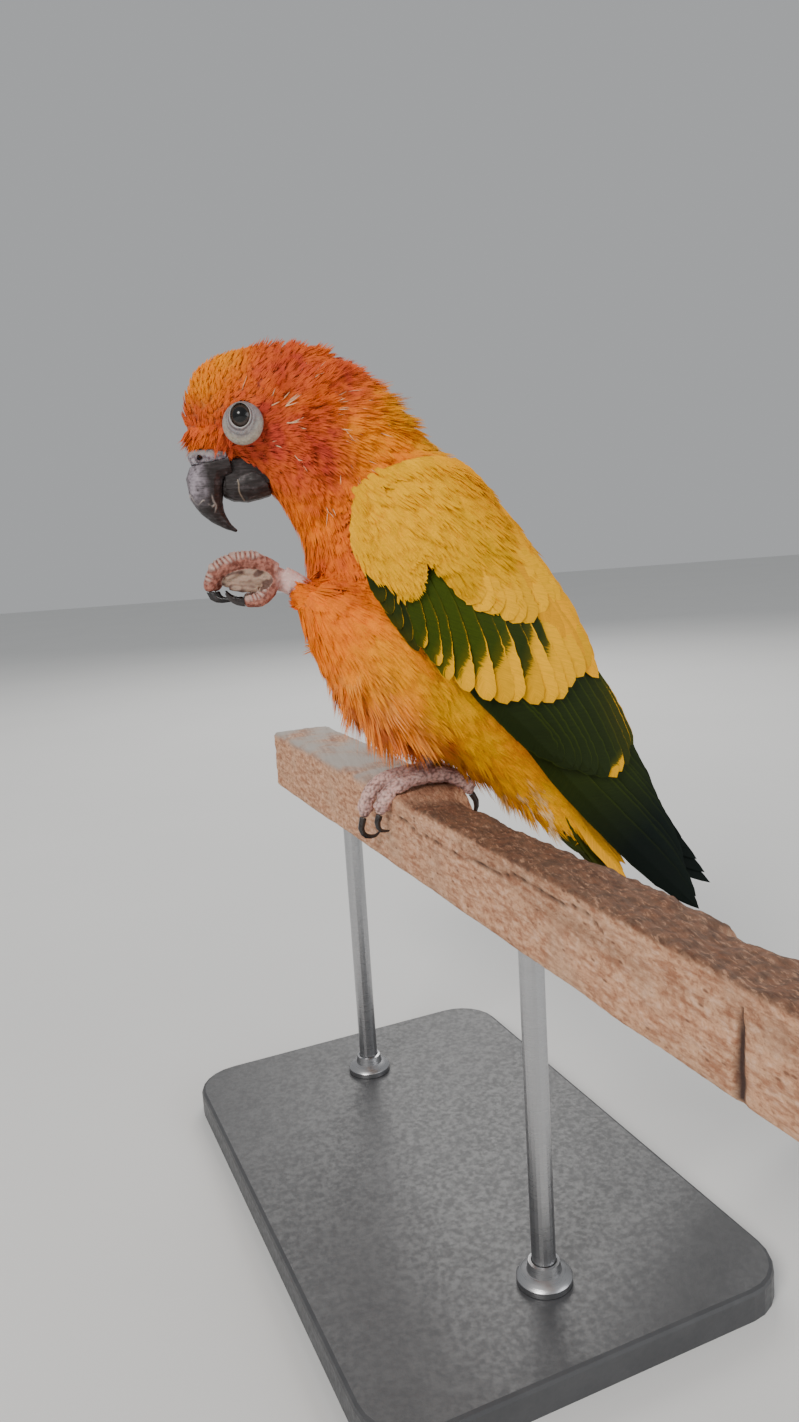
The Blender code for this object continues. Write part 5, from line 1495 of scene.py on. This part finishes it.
def make_bill():
    """The horn of both halves, with worn flakes, a lighter ridge partly painted as a highlight, and a pale edge on the
    lower half painted as a highlight.
    """
    for node in ("bill_upper", "bill_lower"):
        mesh = remeshed(node + "_horn", merged_copy(node, grow=0.05 * MM), voxel=0.18, passes=2)
        places, normals, _ = mesh_arrays(mesh)
        x, y, z = perch_coordinates(places)
        rough = noise_of(places, 900.0) * 0.05 + noise_of(places * np.array([1.0, 1.0, 2.2]), 420.0, 3.0) * 0.06
        uneven = noise_of(places, 330.0, 6.0)
        if node == "bill_upper":
            broad = noise_of(places, 170.0, 2.0)
            # The ridge weight lightens the front and top of the upper half, partly as a painted highlight.
            ridge = bounded((-50.2 - x + 1.6 * uneven + 2.6 * broad) / 3.6) * fade(z, 78.6, 3.2)
            ridge = np.maximum(ridge, fade(z, 90.3, 1.2))
            line = 80.6 + 0.7 * np.sin(x * 1.9) + 0.9 * uneven - 0.25 * (x + 52.0)
            flake = bounded(1.0 - np.abs(z - line) / 0.36) * (x > -56.0) * (x < -49.4)
            flake = flake * bounded(0.45 + 2.2 * noise_of(places, 700.0, 5.0))
            flake = np.maximum(flake, 0.6 * bounded(1.0 - np.abs(x + 49.6 + 0.9 * uneven) / 0.30)
                               * fade(-z, -82.6, 1.0) * fade(z, 77.6, 1.0))
            edge = np.zeros(len(x))
        else:
            ridge, flake = np.zeros(len(x)), np.zeros(len(x))
            share = fade(-z, -86.4, 7.4)
            line = -43.4 + 2.0 * share ** 1.5 + 0.25 * np.sin(share * 9.0)
            # The edge weight is a pale line painted as the highlight of the cutting edge, over a small raised ridge.
            edge = bounded(1.0 - np.abs(x - line) / 0.24) * (z < 86.6) * (np.abs(y) > 1.6) * 0.7
        rough = rough + flake * (0.10 + noise_of(places, 1600.0, 7.0) * 0.15) + edge * 0.12
        raise_points(mesh, places, normals, rough)
        put_attribute(mesh, "wear", stack(ridge, flake, edge, 1.0))
        new_piece(node + "_horn", mesh, made["horn"], "bill", node)
    make_cere()
    make_mouth()


def make_cere():
    """The bare skin over the bill, with painted shade for a hollow round each nostril."""
    mesh = remeshed("cere_skin", merged_copy("cere"), voxel=0.16, passes=2)
    places, normals, _ = mesh_arrays(mesh)
    rough = noise_of(places, 1100.0) * 0.07 + noise_of(places, 380.0, 2.0) * 0.12
    raise_points(mesh, places, normals, rough)
    _, _, z = perch_coordinates(places)
    # The hollow weight is painted shade for each nostril's opening; the skin itself is not hollowed.
    hollow = np.zeros(len(z))
    for side in SIDES:
        nostril = at_perch(-52.0, side * 4.6, 91.7)
        hollow = np.maximum(hollow, bounded(1.6 - np.linalg.norm(places - nostril, axis=1) / (0.95 * MM)))
    horny = fade(-z, -92.6, 1.0)
    put_attribute(mesh, "folds", stack(np.clip(hollow * 1.3, 0.0, 1.2), 0.0 * z, 0.0 * z, horny))
    new_piece("cere_skin", mesh, made["bare"], "bare_skin", "cere")


def make_mouth():
    """The dark lining between the two halves of the bill."""
    gape = bridged([[at_perch(x, y * wide, z) for y, z in
                     ((-1.0, low), (-1.0, high), (0.0, high + 1.0), (1.0, high), (1.0, low), (0.0, low - 0.8))]
                    for x, wide, low, high in ((-35.0, 4.6, 84.5, 90.5), (-40.0, 4.6, 83.5, 91.0),
                                               (-43.6, 4.3, 83.0, 90.8), (-46.2, 3.6, 83.4, 90.0))])
    mesh = remeshed("mouth_lining", gape, voxel=0.3, passes=4)
    places, _, _ = mesh_arrays(mesh)
    put_attribute(mesh, "wear", np.zeros((len(places), 4)))
    new_piece("mouth_lining", mesh, made["horn"], "bill")


PERCH_TURN = math.radians(12.0)
# How far apart the scutes of the raised and the standing foot are
SCUTE_RAISED = 1.1
SCUTE_STANDING = 1.5
# Lines of the toes: (across, along, z) at the perch for the standing foot, (x, y, z) for the raised one
STANDING_TOES = (
    ((7.4, 6.5, 17.5), (4.6, 4.4, 11.0), (2.6, 1.6, 6.4), (1.6, 0.6, 3.6)),
    ((3.0, 1.2, 3.4), (-3.5, 2.6, 3.6), (-10.2, 3.4, 2.3), (-14.4, 3.6, -1.4), (-15.6, 3.6, -5.6)),
    ((2.0, -0.8, 3.0), (-4.0, -2.4, 3.0), (-9.6, -3.4, 1.6), (-12.9, -3.7, -1.4), (-13.6, -3.8, -3.6)),
    ((1.0, 2.2, 3.2), (7.0, 4.0, 3.0), (11.6, 4.8, 1.0), (13.6, 5.0, -2.4)),
    ((1.0, -0.8, 3.0), (6.6, -2.8, 2.9), (11.4, -3.6, 0.9), (13.2, -3.8, -2.2)),
)
RAISED_TOES = (
    ((-22.0, -12.6, 51.5), (-29.0, -12.6, 56.4), (-34.0, -12.4, 59.8), (-37.6, -12.4, 61.4)),
    ((-36.6, -13.4, 62.4), (-41.0, -14.1, 65.4), (-46.4, -14.2, 65.6), (-51.0, -14.2, 63.4), (-52.6, -14.2, 60.2)),
    ((-36.6, -11.2, 62.4), (-40.6, -10.5, 64.6), (-45.4, -10.4, 64.6), (-49.6, -10.4, 62.8), (-51.2, -10.4, 60.0)),
    ((-37.0, -13.6, 60.8), (-38.6, -15.6, 57.8), (-41.0, -16.4, 55.9), (-43.4, -16.6, 55.6)),
    ((-37.0, -10.8, 60.8), (-38.6, -8.8, 57.9), (-40.8, -7.9, 56.0), (-43.0, -7.7, 55.7)),
)


# Folded pads in the raised foot's palm: each has two ends and a radius
FOLDED_PADS = ((-48.6, -14.4, 61.6, -45.0, -14.6, 63.4, 0.8), (-45.0, -14.6, 63.4, -41.4, -14.4, 62.4, 0.7),
               (-41.4, -14.4, 62.4, -39.6, -14.4, 60.0, 0.8), (-48.0, -14.4, 59.6, -44.4, -14.2, 58.6, 0.9),
               (-44.4, -14.2, 58.8, -41.0, -14.2, 58.4, 0.9))


def perch_place(across, along, z):
    """A place at the turned perch, z counted from its top."""
    x = across * math.cos(PERCH_TURN) - along * math.sin(PERCH_TURN)
    y = across * math.sin(PERCH_TURN) + along * math.cos(PERCH_TURN)
    return Vector((x, y, z + PERCH_TOP)) * MM


def toe_lengths(places, lines):
    """For each place, how far along the nearest toe it is, and the direction out from that toe's middle."""
    best = np.full(len(places), 1e9)
    along = np.zeros(len(places))
    out = np.zeros((len(places), 3))
    for line in lines:
        done = 0.0
        for a, b in zip(line, line[1:]):
            run = np.array(b - a)
            length = np.linalg.norm(run)
            share = bounded(((places - np.array(a)) @ run) / length ** 2)
            middle = np.array(a) + share[:, None] * run
            away = np.linalg.norm(places - middle, axis=1)
            nearer = away < best
            best[nearer] = away[nearer]
            along[nearer] = (done + share * length)[nearer]
            out[nearer] = (places - middle)[nearer]
            done += length
    return along / MM, unit(out)


def toe_rod(points, radius):
    """A round rod through the points, as a closed body."""
    rings = []
    turn = 2.0 * math.pi * np.arange(14) / 14
    for i, point in enumerate(points):
        ahead = unit(np.array(points[min(i + 1, len(points) - 1)] - points[max(i - 1, 0)]))
        side = unit(np.cross(ahead, np.array([0.0, 1.0, 0.2])))
        over = np.cross(side, ahead)
        rings.append(np.array(point) + (np.cos(turn)[:, None] * side + np.sin(turn)[:, None] * over) * radius * MM)
    return bridged(rings)


def make_foot(side):
    label = side_name(side)
    bodies = [merged_copy("foot_" + label, grow=0.08 * MM)]
    if side < 0:
        lines = [[Vector(at_perch(*row)) for row in line] for line in RAISED_TOES]
        top = np.array([-0.2, -0.62, 0.85])
        bodies.append(toe_rod([Vector(at_perch(*row)) for row in
                               ((-34.5, -12.4, 61.2), (-30.5, -12.5, 58.8), (-26.0, -12.6, 55.5), (-20.0, -12.8, 50.5),
                                (-15.0, -13.0, 46.0))], 2.6))
        for row in FOLDED_PADS:
            bodies.append(toe_rod([Vector(at_perch(*row[:3])), Vector(at_perch(*row[3:6]))], row[6]))
    else:
        lines = [[perch_place(*row) for row in line] for line in STANDING_TOES]
        top = np.array([0.0, 0.0, 1.0])
        shank = ((4.6, 4.4, 11.0), (7.4, 6.5, 17.5), (9.0, 7.6, 24.0))
        bodies.append(toe_rod([perch_place(*row) for row in shank], radius=2.4))
        for line in lines[1:]:
            for a, b in zip(line, line[1:]):
                pad = a.lerp(b, 0.6) + Vector((0.0, -0.35, 0.25)) * MM
                bodies.append(toe_rod([a.lerp(b, 0.3), pad, a.lerp(b, 0.9)], 2.35))
    mesh = remeshed("foot_skin_" + label, gather(bodies), voxel=0.25, passes=3)
    places, normals, _ = mesh_arrays(mesh)
    along, out = toe_lengths(places, lines)
    lean = out @ unit(top)
    granule = np.array([noise.voronoi(Vector(place) * 1250.0)[0][0] for place in places])
    if side < 0:
        along = along + noise_of(places, 330.0, 8.0) * 0.5
        upper = bounded(lean * 4.5 - 2.9 + noise_of(places, 520.0, 2.0) * 0.9)
        upper = upper * (places[:, 0] < at_perch(-38.5, 0.0, 0.0)[0])
        cells = 0.10
    else:
        upper = bounded(lean * 3.0 - 2.3) * 0.35
        cells = 0.34
    phase = (along / (SCUTE_RAISED if side < 0 else SCUTE_STANDING)) % 1.0
    ridge = np.sin(phase * math.pi) ** 0.6
    groove = 1.0 - bounded(ridge / 0.55)
    wrinkle = noise_of(places * np.array([1.0, 1.0, 2.0]), 700.0, 5.0)
    height = upper * (ridge * 0.55 - 0.12) + (1.0 - upper) * (0.3 * cells - granule * cells + wrinkle * 0.07)
    height = height + noise_of(places, 400.0) * 0.12
    raise_points(mesh, places, normals, height)
    # The gap weight marks painted shade: the grooves between scutes, the folds of the palm and the edges between
    # granules.
    if side < 0:
        x, _, z = perch_coordinates(places)
        inside = ((x + 43.5) / 6.2) ** 2 + ((z - 60.6) / 3.0) ** 2 < 1.0
        palm = np.where(inside, 1.0, 0.0)
        flesh = bounded(1.2 - 1.6 * inside) * fade(-x, 34.0, 3.0)
        gap_shade = upper * groove + inside * bounded(-noise_of(places * np.array([1.0, 1.0, 1.6]), 380.0, 4.0) * 4.0)
    else:
        palm, flesh = np.zeros(len(along)), np.zeros(len(along)) + 0.15
        gap_shade = upper * groove * 0.6 + (1.0 - upper) * np.clip(granule * 2.2 - 0.95, 0.0, 0.8)
    scute = upper * bounded(ridge * 1.8 - 0.9)
    put_attribute(mesh, "scales", stack(scute, bounded(gap_shade), palm, flesh))
    new_piece("foot_skin_" + label, mesh, made["foot"], "foot_skin", "foot_" + label)


def make_claws():
    for side in SIDES:
        for toe in ("outer_front", "inner_front", "outer_back", "inner_back"):
            node = f"claw_{side_name(side)}_{toe}"
            mesh = remeshed(node + "_horn", merged_copy(node, grow=0.03 * MM), voxel=0.13, passes=3)
            new_piece(node + "_horn", mesh, made["claw"], "claw_horn", node)


# Perch and stand


# Along the perch: the ends of the long crack, and the saw's mark
CRACK = (-104.0, -8.0)
SAW_MARK = -140.3


def make_perch():
    mesh = remeshed("perch_bar", merged_copy("perch"), voxel=0.85, passes=1)
    places, normals, _ = mesh_arrays(mesh)
    x, y, z = perch_coordinates(places)
    across = x * math.cos(PERCH_TURN) + y * math.sin(PERCH_TURN)
    along = -x * math.sin(PERCH_TURN) + y * math.cos(PERCH_TURN)
    grained = stack(across, along * 0.12, z)
    fibre = noise_of(grained, 0.9) * 0.22 + noise_of(grained, 0.35, 5.0) * 0.3
    lumps = noise_of(places, 160.0, 9.0) * 0.55 + noise_of(places, 420.0, 4.0) * 0.35
    top = bounded((normals[:, 2] - 0.35) * 2.2)
    eaten = top * fade(-along, 4.0, 14.0)
    chips = np.array([noise.voronoi(Vector(place) * 190.0)[0][0] for place in places])
    height = fibre + top * lumps * 0.5 + eaten * (lumps * 1.2 - bounded(0.30 - chips) * 3.0)
    # The crack and the saw's mark are shallow grooves that the wood's material also darkens with painted shade.
    line = -4.6 + 1.6 * np.sin(along * 0.05) + noise_of(stack(along, 0.0, 0.0), 0.12) * 1.6
    near_side = bounded(-normals @ np.array([math.cos(PERCH_TURN), math.sin(PERCH_TURN), 0.0]) * 2.0 - 0.4)
    crack = bounded(1.0 - np.abs(z - line) / 0.55) * near_side * (along < CRACK[1]) * (along > CRACK[0])
    mark_half = np.interp(z, [-21.0, -16.0, -8.0, -4.0], [0.9, 1.3, 0.7, 0.3])
    mark = bounded(1.5 - np.abs(along - SAW_MARK + 0.02 * z) / mark_half) * near_side * (z < -4.0)
    chipped = near_side * bounded(-noise_of(grained, 0.16, 7.0) * 3.0 - 0.5) * (along < -25.0)
    crack = np.maximum(crack, mark)
    height = height - crack * 0.9 - chipped * 0.7
    dust = fade(along, 5.0, 20.0) * bounded(normals[:, 2] * 1.4)
    raise_points(mesh, places, normals, height * 0.8)
    gnawed = np.maximum(np.maximum(eaten, top * 0.35), chipped * 0.4)
    put_attribute(mesh, "wear", stack(gnawed, crack, dust, 1.0))
    new_piece("perch_bar", mesh, made["wood"], "perch_wood", "perch")


# Places of the rods along the perch, and the profile of the collar at each rod's foot as (radius, height)
RODS = (-58.0, 58.0)
COLLAR = ((3.2, 8.2), (7.0, 8.2), (7.0, 9.6), (6.4, 10.4), (4.4, 11.2), (3.9, 13.6), (3.2, 13.8))


def make_stand():
    for node in ("stand_base", "stand_rod_1", "stand_rod_2"):
        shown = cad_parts[node]
        shown.data.materials.clear()
        shown.data.materials.append(made["paint"] if node == "stand_base" else made["steel"])
    for number, along in enumerate(RODS, start=1):
        bm = bmesh.new()
        verts, edges = closed_loop(bm, [(radius * MM, 0.0, height * MM) for radius, height in COLLAR])
        bmesh.ops.spin(bm, geom=verts + edges, cent=(0, 0, 0), axis=(0, 0, 1), angle=2 * math.pi, steps=64,
                       use_merge=True)
        bmesh.ops.remove_doubles(bm, verts=bm.verts, dist=SAME_PLACE)
        bmesh.ops.recalc_face_normals(bm, faces=bm.faces)
        centre = perch_place(0.0, along, -PERCH_TOP)
        bmesh.ops.translate(bm, verts=bm.verts, vec=(centre.x, centre.y, 0.0))
        mesh = bpy.data.meshes.new(f"stand_collar_{number}")
        write_out(bm, mesh)
        mesh.set_sharp_from_angle(angle=math.radians(35.0))
        new_piece(f"stand_collar_{number}", mesh, made["steel"], "stand_steel")


# Stage


FLOOR_HALF = 3.0
LENS = 26.33
SENSOR = 36.0
CAMERA_PLACE = (-0.0578, -0.2756, 0.1946)
CAMERA_AXES = ((0.9777, -0.2006, -0.0619), (0.0955, 0.1628, 0.982), (-0.1869, -0.9661, 0.1783))


# Each light's name, place, size, power and colour
LIGHTS_AIM = (0.0, 0.0, 0.16)
LAMPS = (("key", (-0.75, -0.85, 0.95), 0.55, 13.5, (1.0, 0.97, 0.93)),
         ("fill", (0.95, -0.80, 0.45), 0.9, 5.0, (0.96, 0.98, 1.0)),
         ("rim", (0.25, 1.0, 0.85), 0.7, 7.5, (1.0, 0.98, 0.95)))


def area_light(name, place, size, power, colour):
    data = bpy.data.lights.new(name, "AREA")
    data.shape = "DISK"
    data.size = size
    data.energy = power
    data.color = colour
    lamp = bpy.data.objects.new(name, data)
    lamp.location = place
    lamp.rotation_euler = (Vector(LIGHTS_AIM) - Vector(place)).to_track_quat("-Z", "Y").to_euler()
    bpy.context.scene.collection.objects.link(lamp)


def make_stage():
    bm = bmesh.new()
    bmesh.ops.create_grid(bm, x_segments=2, y_segments=2, size=FLOOR_HALF)
    mesh = bpy.data.meshes.new("floor")
    bm.to_mesh(mesh)
    bm.free()
    floor = bpy.data.objects.new("floor", mesh)
    bpy.context.scene.collection.objects.link(floor)
    finish, nodes = new_material("floor")
    tone = nodes.mix(nodes.noise(nodes.place(), 9.0, 2.0), (0.72, 0.72, 0.71), (0.76, 0.76, 0.75))
    nodes.dress(Base_Color=tone, Roughness=0.9)
    mesh.materials.append(finish)
    for lamp in LAMPS:
        area_light(*lamp)
    world = bpy.data.worlds.new("soft_room")
    world.use_nodes = True
    back = world.node_tree.nodes["Background"]
    back.inputs["Color"].default_value = (0.86, 0.88, 0.90, 1.0)
    back.inputs["Strength"].default_value = 0.47
    bpy.context.scene.world = world
    data = bpy.data.cameras.new("camera")
    data.sensor_width = SENSOR
    data.sensor_fit = "AUTO"
    data.lens = LENS
    data.clip_start = 0.01
    camera = bpy.data.objects.new("camera", data)
    axes = Matrix(CAMERA_AXES).transposed().to_4x4()
    camera.matrix_world = Matrix.Translation(CAMERA_PLACE) @ axes
    bpy.context.scene.collection.objects.link(camera)
    bpy.context.scene.camera = camera


# Operators


class ConureStep(bpy.types.Operator):
    """A step of the build"""

    bl_options = {"REGISTER"}

    def execute(self, context):
        self.build()
        return {"FINISHED"}


class CONURE_OT_skin(ConureStep):
    """Make the skin under the coat"""

    bl_idname = "conure.skin"
    bl_label = "Skin"

    def build(self):
        made["skin"] = make_skin(bpy.context.scene.conure_sizes)
        made.update(
            coat=feather_material("coat_locks", slant=0.0006, scale=2200.0, roughness=0.80, relief=0.04, specular=0.04,
                                  streaks=0.0),
            vane=feather_material("feather_vanes", slant=0.0060, scale=1500.0, roughness=0.62, relief=0.05,
                                  specular=0.10, streaks=0.85),
            bare=bare_material(), horn=horn_material(), foot=foot_material(), eye=eye_material(), wood=wood_material(),
            claw=coated_material("claw_horn", "claw", other=(0.06, 0.045, 0.04), share=0.5, scale=900.0, low=0.24,
                                 high=0.42, relief=0.04),
            paint=coated_material("stand_paint", "paint", other=(0.085, 0.086, 0.09), share=0.3, scale=700.0, low=0.38,
                                  high=0.52, relief=0.05),
            steel=steel_material())


class CONURE_OT_head_coat(ConureStep):
    """Make the small feathers of the head"""

    bl_idname = "conure.head_coat"
    bl_label = "Head coat"

    def build(self):
        make_head_coat(bpy.context.scene.conure_sizes)


class CONURE_OT_body_coat(ConureStep):
    """Make the small feathers of the neck, body and thighs"""

    bl_idname = "conure.body_coat"
    bl_label = "Body coat"

    def build(self):
        make_body_coat()


class CONURE_OT_wings(ConureStep):
    """Make the rows of feathers of both wings"""

    bl_idname = "conure.wings"
    bl_label = "Wings"

    def build(self):
        for side in SIDES:
            make_wing(side)


class CONURE_OT_tail(ConureStep):
    """Make the tail feathers and their coverts"""

    bl_idname = "conure.tail"
    bl_label = "Tail"

    def build(self):
        make_tail()


class CONURE_OT_eyes(ConureStep):
    """Make the eyes and the bare rings round them"""

    bl_idname = "conure.eyes"
    bl_label = "Eyes"

    def build(self):
        for side in SIDES:
            make_eye(side)


class CONURE_OT_bill(ConureStep):
    """Make the bill and the cere"""

    bl_idname = "conure.bill"
    bl_label = "Bill"

    def build(self):
        make_bill()


class CONURE_OT_feet(ConureStep):
    """Make the feet and the claws"""

    bl_idname = "conure.feet"
    bl_label = "Feet"

    def build(self):
        for side in SIDES:
            make_foot(side)
        make_claws()


class CONURE_OT_perch(ConureStep):
    """Make the perch"""

    bl_idname = "conure.perch"
    bl_label = "Perch"

    def build(self):
        make_perch()


class CONURE_OT_stand(ConureStep):
    """Finish the stand"""

    bl_idname = "conure.stand"
    bl_label = "Stand"

    def build(self):
        make_stand()


class CONURE_OT_stage(ConureStep):
    """Make the floor, the lights and the camera"""

    bl_idname = "conure.stage"
    bl_label = "Stage"

    def build(self):
        make_stage()


class CONURE_PT_panel(bpy.types.Panel):
    """Steps and settings of the model"""

    bl_idname = "CONURE_PT_panel"
    bl_label = "Conure"
    bl_space_type = "VIEW_3D"
    bl_region_type = "UI"
    bl_category = "Conure"

    def draw(self, context):
        for settings in (context.scene.conure_sizes, context.scene.conure_colours):
            box = self.layout.box()
            for name in settings.__annotations__:
                box.prop(settings, name)
        for step in STEPS:
            self.layout.operator(step.bl_idname)


STEPS = (CONURE_OT_skin, CONURE_OT_head_coat, CONURE_OT_body_coat, CONURE_OT_wings, CONURE_OT_tail, CONURE_OT_eyes,
         CONURE_OT_bill, CONURE_OT_feet, CONURE_OT_perch, CONURE_OT_stand, CONURE_OT_stage)
CLASSES = (ConureColours, ConureSizes) + STEPS + (CONURE_PT_panel,)


def register():
    for item in CLASSES:
        bpy.utils.register_class(item)
    bpy.types.Scene.conure_colours = bpy.props.PointerProperty(type=ConureColours)
    bpy.types.Scene.conure_sizes = bpy.props.PointerProperty(type=ConureSizes)


def unregister():
    del bpy.types.Scene.conure_sizes
    del bpy.types.Scene.conure_colours
    for item in reversed(CLASSES):
        bpy.utils.unregister_class(item)


def main():
    register()
    for step in STEPS:
        family, name = step.bl_idname.split(".")
        getattr(getattr(bpy.ops, family), name)()


if __name__ == "__main__":
    main()
